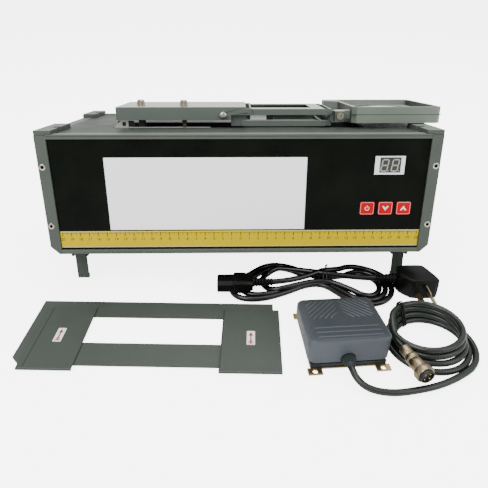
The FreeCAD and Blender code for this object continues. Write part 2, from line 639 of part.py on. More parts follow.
def make_fans():
    frames = []
    for n, x in enumerate(("fan_left", "fan_right")):
        square = block(
            "fan_square",
            ("%s - fan_half" % x, "%s + fan_half" % x),
            ("fan_front", "rear_front"),
            ("fan_height - fan_half", "fan_height + fan_half"),
        )
        ring = cut(
            "fan_ring",
            square,
            [rod("fan_hole", "y", (x, "fan_height"), ("fan_front", "rear_front"), "fan_bore")],
        )
        holders = [
            rod("fan_hub_plate", "y", (x, "fan_height"), ("fan_plate", "rear_front"), "fan_hub"),
            rod("fan_pin_rod", "y", (x, "fan_height"), ("fan_pin_front", "fan_plate"), "fan_pin"),
            block(
                "strut_level",
                ("%s - fan_bore - 1" % x, "%s + fan_bore + 1" % x),
                ("fan_plate", "rear_front"),
                ("fan_height - strut_half", "fan_height + strut_half"),
            ),
            block(
                "strut_upright",
                ("%s - strut_half" % x, "%s + strut_half" % x),
                ("fan_plate", "rear_front"),
                ("fan_height - fan_bore - 1", "fan_height + fan_bore + 1"),
            ),
        ]
        frames.append(fuse("fan_frame", [ring] + holders))

        rotor_name = ("fan_rotor_left", "fan_rotor_right")[n]
        hub = rod("rotor_hub", "y", ("0", "0"), ("0", "rotor_back - rotor_front"), "fan_hub")
        blades = []
        for turn in range(7):
            blade = block(
                "rotor_blade",
                ("fan_hub - 2", "blade_reach"),
                ("-blade_depth / 2", "blade_depth / 2"),
                ("-blade_thick / 2", "blade_thick / 2"),
            )
            twisted = group("twisted_blade", [blade])
            pitch = FreeCAD.Rotation(FreeCAD.Vector(1, 0, 0), cell("blade_turn"))
            around = FreeCAD.Rotation(FreeCAD.Vector(0, 1, 0), turn * 360 / 7)
            middle = FreeCAD.Vector(0, (cell("rotor_back") - cell("rotor_front")) / 2, 0)
            twisted.Placement = FreeCAD.Placement(middle, around.multiply(pitch))
            blades.append(twisted)
        wheel = fuse(rotor_name + "_wheel", [hub] + blades)
        bored = cut(rotor_name + "_cut", wheel, [
            rod("rotor_hole", "y", ("0", "0"), ("0", "rotor_back - rotor_front"), "rotor_bore")
        ])
        bored.Placement.Base = FreeCAD.Vector(cell(x), cell("rotor_front"), cell("fan_height"))
        node(rotor_name, bored, LEANING)
    node("fan_frames", group("fan_frames_group", frames), LEANING)


# ---------------------------------------------------------------- top, feet and legs


def make_tray():
    """A shallow tray in the top opening, with a pierced bracket at its left end."""
    outer = block(
        "tray_outer",
        ("-tray_half", "tray_half"),
        ("tray_front", "tray_back"),
        ("tray_floor", "case_height"),
    )
    inner = block(
        "tray_inner",
        ("sheet - tray_half", "tray_half - sheet"),
        ("tray_front + sheet", "tray_back - sheet"),
        ("tray_floor + sheet", "case_height"),
    )
    bracket = cut(
        "tray_bracket",
        block(
            "bracket_plate",
            ("bracket_left", "bracket_right"),
            ("tray_front", "tray_front + sheet"),
            ("case_height - 4", "bracket_high"),
        ),
        [
            block(
                "bracket_hole",
                ("bracket_right - 8", "bracket_right - 3"),
                ("tray_front", "tray_front + sheet"),
                ("case_height + 2", "bracket_high - 2"),
            ),
        ],
    )
    shell = cut("tray_shell", outer, [inner])
    node("arm_tray", fuse("arm_tray_fuse", [shell, bracket]), LEANING)


def make_pads():
    """Four notched plastic pads on the case's upper corners."""
    pads = []
    for side in (-1, 1):
        for start, end, notch_start, notch_end in (
            ("0", "pad_front_end", "notch_start", "notch_end"),
            ("pad_rear_start", "case_depth", "rear_notch_start", "rear_notch_end"),
        ):
            pad = block(
                "pad_block",
                ordered(side, "pad_left", "half_case"),
                (start, end),
                ("case_height", "pad_high"),
            )
            low, high = ordered(side, "pad_left", "notch_inner")
            notch = block("pad_notch", (low, high), (notch_start, notch_end), ("case_height", "pad_high"))
            rest = block(
                "pad_rail_clearance",
                ordered(side, "pad_left", "inner_half"),
                ("-1", "rail_depth"),
                ("case_height", "top_rail_high"),
            )
            rear_rest = block(
                "pad_rear_clearance",
                ordered(side, "pad_left", "inner_half"),
                ("case_depth - rail_depth", "case_depth + 1"),
                ("case_height", "top_rail_high"),
            )
            pads.append(cut("top_pad", pad, [notch, rest if start == "0" else rear_rest]))
    node("top_pads", group("top_pads_group", pads), LEANING)


def make_feet():
    feet = [
        rod(
            "foot",
            "z",
            (mirrored_x("foot_x", side), "foot_y"),
            ("-foot_high", "0"),
            "foot_radius - 1",
            "foot_radius",
        )
        for side in (-1, 1)
    ]
    node("rear_feet", group("rear_feet_group", feet), LEANING)


def make_legs():
    bases = []
    for side, label in ((-1, "left_tilt_leg"), (1, "right_tilt_leg")):
        x = mirrored_x("leg_x", side)
        plate = block(
            "leg_plate",
            ("%s - base_half" % x, "%s + base_half" % x),
            ("base_front", "base_back"),
            ("-base_plate", "0"),
        )
        ears = []
        for low, high in (
            ("%s - base_half" % x, "%s - leg_half_width - ear_gap" % x),
            ("%s + leg_half_width + ear_gap" % x, "%s + base_half" % x),
        ):
            ears.append(
                block("leg_ear", (low, high), ("ear_front", "ear_back"), ("ear_low", "-base_plate"))
            )
        pivot = ("leg_pivot_y", "leg_pivot_z")
        pin = rod("leg_pin_rod", "x", pivot, ("%s - base_half" % x, "%s + base_half" % x), "leg_pin")
        bases.append(fuse("tilt_foot_base", [plate, pin] + ears))

        leg = new_body(label + "_body")
        across = ("%s - leg_half_width" % x, "%s + leg_half_width" % x)
        shape_body(leg, "Pad", "x", across, [rectangle(
            ("leg_pivot_y - leg_half_thick", "leg_tip_z"), ("leg_pivot_y + leg_half_thick", "leg_pivot_z")
        )])
        shape_body(leg, "Pad", "x", across, circles=[(pivot, "leg_boss")])
        shape_body(leg, "Pad", "x", across, circles=[(("leg_tip_y", "leg_tip_z"), "leg_tip")])
        shape_body(leg, "Pocket", "x", across, circles=[(pivot, "leg_bore")])
        node(label, leg, LEANING)
    node("tilt_foot_bases", group("tilt_foot_bases_group", bases), LEANING)


# ---------------------------------------------------------------- magnifier arm


def layer(inset, thick="link"):
    """The two spans along Y of a pair of cheeks set in from the arm's faces."""
    front = ("arm_front + %s" % inset, "arm_front + %s + %s" % (inset, thick))
    back = ("arm_back - %s - %s" % (inset, thick), "arm_back - %s" % inset)
    return front, back


def make_arm_base():
    """An inverted channel with a longer upper strip at its right end, and ears for the lower pivot."""
    web = block(
        "base_web",
        ("base_left", "base_web_end"),
        ("arm_front", "arm_back"),
        ("base_web_low", "base_web_high"),
    )
    pieces = [
        web,
        block(
            "base_end_wall",
            ("base_left", "base_left + link"),
            ("arm_front", "arm_back"),
            ("base_flange_low", "base_web_high"),
        ),
    ]
    tools = [
        rod("post_hole", "z", ("post_x", "post_y"), ("base_web_low", "base_web_high"), "post_bore"),
        rod("lock_hole", "z", ("lock_x", "lock_y"), ("base_web_low", "base_web_high"), "lock_bore"),
        rod(
            "tension_hole",
            "y",
            ("tension_x", "tension_z"),
            ("arm_front", "arm_front + link"),
            "tension_bore",
        ),
    ]
    for span in layer("0"):
        pieces.append(
            block("base_flange", ("base_left", "base_step"), span, ("base_flange_low", "base_web_high"))
        )
        pieces.append(
            block("base_strip", ("base_step", "base_end"), span, ("base_flange_step", "base_web_low"))
        )
        pieces.append(
            block("base_strip_top", ("base_step", "base_web_end"), span, ("base_web_low", "base_web_high"))
        )
        tools.append(rod("pivot_a_hole", "y", ("pivot_a_x", "pivot_a_z"), span, "pin_bore"))
    for span in layer("ear_inset"):
        pieces.append(
            block(
                "pivot_ear",
                ("base_step", "pivot_b_x + lower_half"),
                span,
                ("pivot_b_z - lower_half", "base_web_low"),
            ),
        )
        tools.append(rod("pivot_b_hole", "y", ("pivot_b_x", "pivot_b_z"), span, "pin_bore"))
    node("arm_base", cut("arm_base_cut", fuse("arm_base_fuse", pieces), tools), LEANING)


def make_arm_fittings():
    at = ("post_x", "post_y")
    post = fuse("swing_post_fuse", [
        rod("post_root", "z", at, ("tray_floor + sheet", "post_collar_low"), "post_shaft + 0.4"),
        rod("post_collar_rod", "z", at, ("post_collar_low", "post_shoulder"), "post_collar"),
        rod("post_shaft_rod", "z", at, ("post_shoulder", "base_web_high + post_gap"), "post_shaft"),
        rod("post_knob", "z", at, ("base_web_high + post_gap", "knob_high"), "knob_radius"),
    ])
    node("swing_post", post, LEANING)
    at = ("lock_x", "lock_y")
    lock = fuse("lock_screw_fuse", [
        rod("lock_shaft_rod", "z", at, ("lock_low", "base_web_high + 0.1"), "lock_shaft"),
        rod("lock_knob", "z", at, ("base_web_high + 0.1", "knob_high"), "knob_radius"),
    ])
    node("lock_screw", lock, LEANING)
    at = ("tension_x", "tension_z")
    knob = fuse("tension_knob_fuse", [
        rod(
            "tension_head",
            "y",
            at,
            ("tension_front", "arm_front - 0.1"),
            "tension_radius - 1",
            "tension_radius",
        ),
        rod("tension_shaft_rod", "y", at, ("arm_front - 0.1", "tension_back"), "tension_shaft"),
    ])
    node("tension_knob", knob, LEANING)


def link(name, start, span, half):
    """A bar with round ends from a pivot to the pivot one arm length to its right."""
    x, z = start
    return [
        rod(name + "_left_end", "y", (x, z), span, half),
        rod(name + "_right_end", "y", (x + " + arm_length", z), span, half),
        block(
            name + "_bar", (x, x + " + arm_length"), span, ("%s - %s" % (z, half), "%s + %s" % (z, half))
        ),
    ]


def make_upper_arm():
    pivot = ("pivot_a_x", "pivot_a_z")
    front, back = layer("upper_inset")
    pieces, tools = [], []
    for span in (front, back):
        pieces += link("upper_link", pivot, span, "upper_half")
        tools.append(rod("pivot_c_hole", "y", ("pivot_a_x + arm_length", "pivot_a_z"), span, "pin_bore"))
    web = block(
        "upper_web",
        ("upper_web_left", "upper_web_right"),
        (front[0], back[1]),
        ("upper_web_low", "upper_web_high"),
    )
    hole = block(
        "upper_hole",
        ("upper_web_left + link", "upper_hole_right"),
        ("upper_hole_front", "upper_hole_back"),
        ("upper_web_low", "upper_web_high"),
    )
    pieces.append(cut("upper_frame", web, [hole]))
    pieces.append(rod("pin_a_front", "y", pivot, ("arm_front - 0.5", front[1]), "pin"))
    pieces.append(rod("pin_a_back", "y", pivot, (back[0], "arm_back + 0.5"), "pin"))
    node("upper_arm", cut("upper_arm_cut", fuse("upper_arm_fuse", pieces), tools), LEANING)


def make_lower_arm():
    pivot = ("pivot_b_x", "pivot_b_z")
    front, back = layer("lower_inset")
    pieces = []
    for span in (front, back):
        pieces += link("lower_link", pivot, span, "lower_half")
    pieces.append(rod("pin_b", "y", pivot, (front[0], back[1]), "pin"))
    pieces.append(rod("pin_d", "y", ("pivot_b_x + arm_length", "pivot_b_z"), (front[0], back[1]), "pin"))
    node("lower_arm", fuse("lower_arm_fuse", pieces), LEANING)


def make_springs():
    """Two balance springs as hollow rods, each with an anchor bar, and the blocks that hold them."""
    springs, blocks = [], []
    for y in ("arm_front + spring_inset", "arm_back - spring_inset"):
        coil = cut(
            "spring_tube",
            rod("spring_outer", "x", (y, "spring_z"), ("spring_left", "spring_right"), "spring_radius"),
            [
                rod(
                    "spring_inner",
                    "x",
                    (y, "spring_z"),
                    ("spring_left + 2", "spring_right - 2"),
                    "spring_bore",
                ),
            ],
        )
        bar = rod("spring_hook", "x", (y, "spring_z"), ("spring_right", "bar_right"), "1")
        springs.append(fuse("balance_spring", [coil, bar]))
    for low, high in (
        ("arm_front + block_inset", "arm_front + block_inset + block_depth"),
        ("arm_back - block_inset - block_depth", "arm_back - block_inset"),
    ):
        blocks.append(
            block(
                "spring_block_part", ("block_left", "spring_left"), (low, high), ("block_low", "block_high")
            ),
        )
        blocks.append(
            block(
                "spring_stem",
                ("block_left + 6", "block_split - 6"),
                (low, high),
                ("block_high", "upper_web_low"),
            ),
        )
    node("balance_springs", group("balance_springs_group", springs), LEANING)
    left = fuse("front_spring_block", blocks[:2])
    right = fuse("back_spring_block", blocks[2:])
    node("spring_block", group("spring_block_group", [left, right]), LEANING)


def make_head():
    """The carrier between the links' ends: two cheeks, a cross web, a neck and the block in front."""
    front, back = layer("carrier_inset")
    pivot_c = ("pivot_a_x + arm_length", "pivot_a_z")
    pivot_d = ("pivot_b_x + arm_length", "pivot_b_z")
    pieces, tools = [], []
    for span in (front, back):
        pieces.append(rod("carrier_boss_c", "y", pivot_c, span, "carrier_boss"))
        pieces.append(rod("carrier_boss_d", "y", pivot_d, span, "carrier_boss"))
        pieces.append(
            block(
                "carrier_cheek",
                (pivot_c[0], "web_right"),
                span,
                ("carrier_low", pivot_c[1] + " + carrier_boss"),
            ),
        )
        pieces.append(
            block(
                "carrier_foot",
                (pivot_d[0], pivot_c[0]),
                span,
                ("carrier_low", pivot_d[1] + " + carrier_boss"),
            ),
        )
        tools.append(rod("pivot_d_hole", "y", pivot_d, span, "open_bore"))
    pieces.append(rod("pin_c_front", "y", pivot_c, ("arm_front + 1.5", front[1]), "pin"))
    pieces.append(rod("pin_c_back", "y", pivot_c, (back[0], "arm_back - 1.5"), "pin"))
    pieces.append(
        block(
            "carrier_web", ("web_left", "web_right"), (front[0], back[1]), ("carrier_low", "carrier_high")
        ),
    )
    pieces.append(
        block(
            "carrier_neck", ("neck_left", "head_left"), ("neck_front", front[0]), ("head_low", "head_high")
        ),
    )
    pieces.append(
        block(
            "head_block",
            ("head_left", "head_right"),
            ("head_front", "head_back"),
            ("head_low", "head_high"),
        ),
    )
    at = ("tilt_x", "tilt_z")
    tools.append(rod("head_screw_hole", "y", at, ("head_front", "head_back"), "head_shaft"))
    node("head_carrier", cut("head_carrier_cut", fuse("head_carrier_fuse", pieces), tools), LEANING)

    screw = fuse("head_screw_solid", [
        rod("head_screw_cap", "y", at, ("head_cap_front", "head_front"), "head_cap"),
        rod("head_screw_shaft", "y", at, ("head_front", "lug_back"), "head_shaft"),
    ])
    key = rod("head_screw_key", "y", at, ("head_cap_front", "head_cap_front + 2"), "socket_key")
    node("head_screw", cut("head_screw_cut", screw, [key]), LEANING)


def make_lens():
    """An open frame with a notched left side, the lens seated in it, and the lug that tilts on a screw."""
    frame = new_body("lens_frame_body")
    outline = [
        ("lens_left + lens_corner", "lens_front"), ("lens_right - lens_corner", "lens_front"),
        ("lens_right", "lens_front + lens_corner"), ("lens_right", "lens_back - lens_corner"),
        ("lens_right - lens_corner", "lens_back"), ("lens_step_left + lens_corner", "lens_back"),
        ("lens_step_left", "lens_back - lens_corner"), ("lens_step_left", "lens_step_front + 8"),
        ("lens_left", "lens_step_front - 4"), ("lens_left", "lens_front + lens_corner"),
    ]
    shape_body(frame, "Pad", "z", ("lens_low", "lens_high"), [outline])
    middle = ("lens_x", "lens_y")
    shape_body(frame, "Pocket", "z", ("lens_low", "lens_high"), circles=[(middle, "lens_seat")])
    shape_body(frame, "Pocket", "z", ("lens_seat_high", "lens_high"), circles=[(middle, "lens_radius")])
    well = rectangle(
        ("lens_left + lens_rim", "lens_front + lens_rim"),
        ("lens_right - lens_rim_right", "lens_back - lens_rim"),
    )
    shape_body(frame, "Pocket", "z", ("lens_ledge", "lens_high"), [well])
    lug = ("lug_front", "lug_back")
    at = ("tilt_x", "tilt_z")
    shape_body(frame, "Pad", "y", lug, circles=[(at, "lug_radius")])
    arm = rectangle(("tilt_x", "tilt_z - lug_radius"), ("lens_left + 1", "tilt_z + lug_radius"))
    shape_body(frame, "Pad", "y", lug, [arm])
    shape_body(frame, "Pocket", "y", lug, circles=[(at, "head_bore")])
    node("lens_frame", frame, LEANING)

    # The lens is the part of a flat disc that lies inside two spheres.
    radius, crown = cell("lens_radius") - 0.1, cell("lens_crown")
    sphere = (radius * radius + crown * crown / 4) / crown
    middle = FreeCAD.Vector(cell("lens_x"), cell("lens_y"), cell("lens_edge") + 4)
    above = Part.makeSphere(sphere, middle + FreeCAD.Vector(0, 0, sphere - crown / 2 - 1))
    below = Part.makeSphere(sphere, middle - FreeCAD.Vector(0, 0, sphere - crown / 2 - 1))
    disc = Part.makeCylinder(radius, crown + 8, middle - FreeCAD.Vector(0, 0, crown / 2 + 4))
    lens = doc.addObject("Part::Feature", "magnifier_lens_shape")
    lens.Shape = disc.common(above).common(below)
    node("magnifier_lens", lens, LEANING)


# ---------------------------------------------------------------- foot switch


def make_pedal():
    pedal = lying("pedal_x", "pedal_y", "pedal_turn")
    plate = new_body("pedal_base_plate_body")
    shape_body(
        plate,
        "Pad",
        "z",
        ("0", "pedal_plate"),
        [rectangle(("-flange_half", "0"), ("flange_half", "pedal_depth"))],
    )
    holes = []
    for side in (-1, 1):
        x = mirrored_x("tab_x", side)
        for y_low, y_high, y_hole in (
            ("-tab_reach", "1", "-tab_reach + tab_hole_inset"),
            ("pedal_depth - 1", "pedal_depth + tab_reach", "pedal_depth + tab_reach - tab_hole_inset"),
        ):
            tab = rectangle(("%s - tab_half" % x, y_low), ("%s + tab_half" % x, y_high))
            shape_body(plate, "Pad", "z", ("0", "pedal_plate"), [tab])
            holes.append(((x, y_hole), "tab_hole"))
    shape_body(plate, "Pocket", "z", ("0", "pedal_plate"), circles=holes)
    node("pedal_base_plate", plate, pedal)

    rim = block(
        "housing_rim",
        ("-flange_half", "flange_half"),
        ("flange_inset", "pedal_depth - flange_inset"),
        ("pedal_plate", "flange_high"),
    )
    wall = block(
        "housing_wall",
        ("-shell_half", "shell_half"),
        ("shell_inset", "pedal_depth - shell_inset"),
        ("flange_high", "shell_high"),
    )
    cavity = block(
        "housing_cavity",
        ("-cavity_half", "cavity_half"),
        ("cavity_inset", "pedal_depth - cavity_inset"),
        ("cavity_floor", "shell_high"),
    )
    hollow = cut("housing_hollow", fuse("housing_solid", [rim, wall]), [cavity])
    pieces, tools = [hollow], []
    hinge = ("hinge_y", "hinge_z")
    for side in (-1, 1):
        span = ordered(side, "lug_inner", "shell_half")
        pieces.append(block(
            "housing_lug",
            span,
            ("hinge_y - hinge_lug_half", "hinge_y + hinge_lug_half"),
            ("shell_high - 4", "hinge_z + 4"),
        ))
    tools.append(rod("housing_pin_hole", "x", hinge, ("-shell_half", "shell_half"), "hinge_pin"))
    tools.append(
        rod("housing_gland_hole", "y", ("gland_x", "gland_z"), ("0", "cavity_inset"), "gland_radius")
    )
    node("pedal_housing", cut("pedal_housing_cut", fuse("pedal_housing_fuse", pieces), tools), pedal)
    node(
        "pedal_pin",
        rod("pedal_pin_rod", "x", hinge, ("-pedal_half + 0.3", "pedal_half - 0.3"), "hinge_pin"),
        pedal,
    )

    cover = new_body("pedal_cover_body")
    side_view = [
        ("0", "skirt_front"), ("pedal_depth", "skirt_back"), ("pedal_depth", "cover_back_high - 4"),
        ("pedal_depth - 3", "cover_back_high"), ("4", "cover_front_high"), ("0", "cover_front_high - 4"),
    ]
    shape_body(cover, "Pad", "x", ("-pedal_half", "pedal_half"), [side_view])
    hollow_view = [
        ("cover_wall", "0"), ("pedal_depth - cover_wall", "0"),
        ("pedal_depth - cover_wall", "cover_back_high - cover_top - 3"),
        ("pedal_depth - 6", "cover_back_high - cover_top"), ("6", "cover_front_high - cover_top - 0.5"),
        ("cover_wall", "cover_front_high - cover_top - 4"),
    ]
    shape_body(cover, "Pocket", "x", ("cover_wall - pedal_half", "pedal_half - cover_wall"), [hollow_view])
    notch = [(("gland_x", "gland_z"), "gland_notch")]
    shape_body(cover, "Pocket", "y", ("-1", "cover_wall + 0.5"), circles=notch)
    shape_body(cover, "Pocket", "x", ("-pedal_half", "pedal_half"), circles=[(hinge, "hinge_bore")])
    node("pedal_cover", cover, pedal)

    at = ("0", "pedal_spring_y")
    fall = "(cover_front_high - cover_back_high - 0.5) / (pedal_depth - 12)"
    spring_top = (
        "cover_front_high - cover_top - 0.5 - (pedal_spring_y - 6) * " + fall
        + " - pedal_spring_radius / 5 - spring_top_gap"
    )
    spring = cut(
        "pedal_spring_cut",
        rod("pedal_spring_outer", "z", at, ("cavity_floor", spring_top), "pedal_spring_radius"),
        [rod("pedal_spring_inner", "z", at, ("cavity_floor", spring_top), "pedal_spring_bore")],
    )
    node("pedal_spring", spring, pedal)
    micro = fuse("micro_switch_fuse", [
        block(
            "micro_body",
            ("switch_x - micro_half", "switch_x + micro_half"),
            ("switch_y - micro_depth", "switch_y + micro_depth"),
            ("cavity_floor", "micro_high"),
        ),
        rod("micro_plunger", "z", ("switch_x", "switch_y"), ("micro_high", "micro_high + 1.5"), "1.5"),
    ])
    node("micro_switch", micro, pedal)
    gland_at = ("gland_x", "gland_z")
    gland = fuse("cord_gland_solid", [
        rod(
            "gland_neck",
            "y",
            gland_at,
            ("gland_front", "flange_inset"),
            "gland_radius - 0.8",
            "gland_radius",
        ),
        rod("gland_stem", "y", gland_at, ("flange_inset", "cavity_inset"), "gland_radius"),
    ])
    node("cord_gland", gland, pedal)


# ---------------------------------------------------------------- cords, in the floor frame


def cord_tube(label, route, radius):
    """A tube of straight runs joined by tangent arcs, each as large as its two runs allow."""
    corners = [FreeCAD.Vector(*point) for point in route]
    edges, start, smallest = [], corners[0], None
    for before, corner, after in zip(corners, corners[1:], corners[2:]):
        back, ahead = before - corner, after - corner
        turn = math.pi - back.getAngle(ahead)
        reach = 0.45 * min(back.Length, ahead.Length)
        bend = reach / math.tan(turn / 2)
        smallest = bend if smallest is None else min(smallest, bend)
        into = corner + back.normalize() * reach
        out = corner + ahead.normalize() * reach
        inward = (back + ahead).normalize()
        middle = corner + inward * (math.hypot(bend, reach) - bend)
        edges.append(Part.LineSegment(start, into).toShape())
        edges.append(Part.Arc(into, middle, out).toShape())
        start = out
    edges.append(Part.LineSegment(start, corners[-1]).toShape())
    path = Part.Wire(edges)
    ring = Part.Circle(corners[0], corners[1] - corners[0], radius).toShape()
    tube = path.makePipeShell([Part.Wire(ring)], True, False)
    piece = doc.addObject("Part::Feature", label + "_tube")
    piece.Shape = tube
    expected = math.pi * radius * radius * path.Length
    print(
        "%s: length %.1f, smallest radius %.1f, volume %.0f of %.0f" % (
            label, path.Length, smallest, tube.Volume, expected
        ),
    )
    node(label, piece, LEVEL)


# From the gland, forward and round to the right, to the coil's outer edge.
FOOT_CORD_ROUTE = [
    (100.75, -141.43, 12), (101.41, -151.41, 12), (105.3, -159.6, 9.2), (113, -165, 6.2),
    (124.5, -167.6, 4.3), (139, -168, 3.6), (156, -165.2, 3.4), (175, -161.2, 3.4), (193.5, -154.4, 3.4),
    (211.7, -146.2, 3.4),
]


def make_foot_cord():
    cord_tube("foot_cord", FOOT_CORD_ROUTE, cell("cord_radius"))
    ring = rod("coil_outer", "z", ("coil_x", "coil_y"), ("0.1", "coil_high"), "coil_radius")
    hole = rod("coil_inner", "z", ("coil_hole_x", "coil_hole_y"), ("0.1", "coil_high"), "coil_hole")
    start = FreeCAD.Vector(cell("plug_end_x"), cell("plug_end_y"), cell("connector_z"))
    tip = FreeCAD.Vector(cell("plug_tip_x"), cell("plug_tip_y"), cell("connector_z"))
    along = (tip - start).normalize()
    shell = Part.makeCylinder(cell("connector_radius"), cell("connector_length"), start, along)
    collar = Part.makeCylinder(
        cell("connector_ring"), 9, start + along * (cell("connector_length") - 9), along
    )
    bore = Part.makeCylinder(
        cell("connector_bore"), 6, start + along * (cell("connector_length") - 6), along
    )
    connector = doc.addObject("Part::Feature", "connector_shell_shape")
    connector.Shape = shell.fuse(collar).cut(bore).removeSplitter()
    node("connector_shell", connector, LEVEL)
    room = doc.addObject("Part::Feature", "connector_room")
    gap = cell("connector_gap")
    room.Shape = Part.makeCylinder(
        cell("connector_ring") + gap, cell("connector_length") + 24, start - along * 2, along
    )
    lid = block(
        "coil_lid",
        ("plug_end_x - 30", "plug_end_x + 12"),
        ("plug_end_y - 45", "plug_end_y + 8"),
        ("connector_z", "coil_high + 1"),
    )
    node("foot_coil", cut("foot_coil_cut", ring, [hole, room, lid]), LEVEL)


# The hank's outline where its folds are stacked, and the low single folds under the appliance connector.
HANK_OUTLINE = [
    (31, -38.5), (55, -27), (80, -12), (99, -9), (128, -26), (150, -49), (172, -44), (188, -22), (185, -2),
    (180, 12), (153, 30), (126, 24), (99, 9), (70, 30), (46, 39), (31, 38),
]
LOW_FOLD_OUTLINE = [
    (31, -38.5), (8, -37.7), (-8, -34), (-14.5, -20), (-12, -8), (0, 6), (14, 20), (25, 36), (31, 38),
]
PLUG_OUTLINE = [
    (181, -15), (181, -1), (192, 3), (214, 2), (222, -3), (226, -14), (224, -27.5), (218, -31.5),
    (194, -31.5), (188, -24),
]


def slab(name, outline, low, high):
    """A flat-topped piece standing on an outline drawn in the floor frame."""
    corners = [FreeCAD.Vector(x, y, low) for x, y in outline + outline[:1]]
    piece = doc.addObject("Part::Feature", name)
    piece.Shape = Part.Face(Part.makePolygon(corners)).extrude(FreeCAD.Vector(0, 0, high - low))
    return piece


def make_mains_lead():
    """An appliance connector, a tied hank of cord and a right-angle plug with three flat pins."""
    middle = "(c13_low + c13_high) / 2"
    nose = block(
        "c13_front",
        ("c13_left", "c13_nose"),
        ("c13_y - c13_half", "c13_y + c13_half"),
        ("c13_low", "c13_high"),
    )
    holes = [
        block(
            "c13_slot",
            ("c13_left", "c13_left + c13_slot_deep"),
            ("c13_y + %s - c13_slot_half" % y, "c13_y + %s + c13_slot_half" % y),
            ("%s - c13_slot_tall" % z, "%s + c13_slot_tall" % z),
        )
        for y, z in (("-7", middle + " - 2"), ("7", middle + " - 2"), ("0", middle + " + 3"))
    ]
    body = block(
        "c13_back",
        ("c13_nose", "c13_neck"),
        ("c13_y + 1.5 - c13_half", "c13_y + c13_half - 1.5"),
        ("c13_low", "c13_high - 1"),
    )
    relief = rod("c13_relief", "x", ("c13_y", middle), ("c13_neck", "c13_end"), "6.8", "4.6")
    node("c13_connector", fuse("c13_fuse", [cut("c13_nose_cut", nose, holes), body, relief]), LEVEL)

    stacked = slab("hank_stack", HANK_OUTLINE, cell("floor_gap"), cell("hank_high"))
    low_fold = slab("hank_low_fold", LOW_FOLD_OUTLINE, cell("floor_gap"), cell("low_fold_high"))
    notch = block("plug_room", ("hank_right", "hank_right + 40"), ("-60", "60"), ("0", "hank_high + 1"))
    hank = cut("mains_hank_cut", fuse("mains_hank_fuse", [stacked, low_fold]), [notch])
    node("mains_hank", hank, LEVEL)

    node("plug_body", slab("plug_body_shape", PLUG_OUTLINE, 0, cell("plug_high")), LEVEL)
    blades = []
    for x, z, turn in (
        ("plug_pin_left", "plug_pin_low", 30),
        ("plug_pin_right", "plug_pin_low", -30),
        ("plug_pin_middle", "plug_pin_high", 90),
    ):
        blade = block(
            "plug_blade",
            ("-blade_half", "blade_half"),
            ("plug_face - blade_length", "plug_face"),
            ("-blade_thickness / 2", "blade_thickness / 2"),
        )
        turned = group("turned_blade", [blade])
        here = FreeCAD.Vector(cell(x), 0, cell(z))
        turned.Placement = FreeCAD.Placement(here, FreeCAD.Rotation(FreeCAD.Vector(0, 1, 0), turn))
        blades.append(turned)
    node("plug_pins", group("plug_pins_group", blades), LEVEL)


# ---------------------------------------------------------------- film mask


def make_mask():
    """A sheet with a long window, and two shutters that slide over it."""
    mask = lying("mask_x", "mask_y", "mask_turn")
    frame = new_body("mask_frame_body")
    outline = [
        ("-mask_half + mask_corner", "mask_front"), ("mask_half", "mask_front"), ("mask_half", "mask_back"),
        ("-mask_half", "mask_back"), ("-mask_half", "mask_front + mask_corner"),
    ]
    shape_body(frame, "Pad", "z", ("0", "mask_sheet"), [outline])
    window = rectangle(
        ("mask_window_left", "mask_window_low"), ("mask_window_right", "mask_window_high")
    )
    shape_body(frame, "Pocket", "z", ("0", "mask_sheet"), [window])
    node("mask_frame", frame, mask)
    for label in ("left_shutter", "right_shutter"):
        shutter = new_body(label + "_body")
        left, right = label + "_x - " + label + "_half", label + "_x + " + label + "_half"
        low = "mask_sheet + shutter_gap"
        plate = rectangle((left, "shutter_low"), (right, "shutter_high"))
        shape_body(shutter, "Pad", "z", (low, low + " + shutter_thick"), [plate])
        hook = rectangle((left, "shutter_low - shutter_thick"), (right, "shutter_low"))
        shape_body(shutter, "Pad", "z", ("0.3", low + " + shutter_thick"), [hook])
        node(label, shutter, mask)


make_covers()
make_side_frame("left_side_frame", -1)
make_side_frame("right_side_frame", 1)
make_screws()
make_rails()
make_front()
make_keys()
make_control_board()
make_light()
make_power_supply()
make_rear()
make_inlet()
make_foot_socket()
make_fans()
make_tray()
make_pads()
make_feet()
make_legs()
make_arm_base()
make_arm_fittings()
make_upper_arm()
make_lower_arm()
make_springs()
make_head()
make_lens()
make_pedal()
make_foot_cord()
make_mains_lead()
make_mask()
doc.recompute()

for thing in doc.Objects:
    if "Invalid" in thing.State or "Error" in thing.State:
        raise RuntimeError("%s (%s) failed: %s" % (thing.Name, thing.Label, thing.State))
    if thing.TypeId == "PartDesign::Pocket":
        before = thing.BaseFeature.Shape.Volume
        if thing.Shape.Volume > before - 0.01:
            raise RuntimeError("%s cuts nothing" % thing.Name)

total = None
cord_labels = (
    "foot_cord", "foot_coil", "connector_shell", "c13_connector", "mains_hank", "plug_body", "plug_pins"
)
for label, piece in NODES.items():
    shape = piece.Shape
    if shape.isNull() or not shape.isValid() or not shape.Solids:
        raise RuntimeError(label + " has no valid shape")
    if label not in cord_labels:
        total = shape.BoundBox if total is None else total.united(shape.BoundBox)
print("nodes %d" % len(NODES))
limits = (total.XMin, total.XMax, total.YMin, total.YMax, total.ZMin, total.ZMax)
print("box x %.3f..%.3f y %.3f..%.3f z %.3f..%.3f" % limits)

os.makedirs("parts", exist_ok=True)
for label, piece in NODES.items():
    piece.Shape.exportStep("parts/%s.step" % label)
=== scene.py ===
"""The film viewer set in Blender: materials on the CAD's pieces, and the details that replace or dress them.

The local frames are in millimetres. CASE has X to the right, Y to the back and Z up from the case's lower
front edge. FRONT looks at the case's front face: X right, Y up, Z towards the viewer. FLOOR is level, on the
floor under that edge. The foot switch and the mask have level frames of their own, PEDAL and MASK.
"""

import json
import math

import bmesh
import bpy
from mathutils import Matrix, Vector


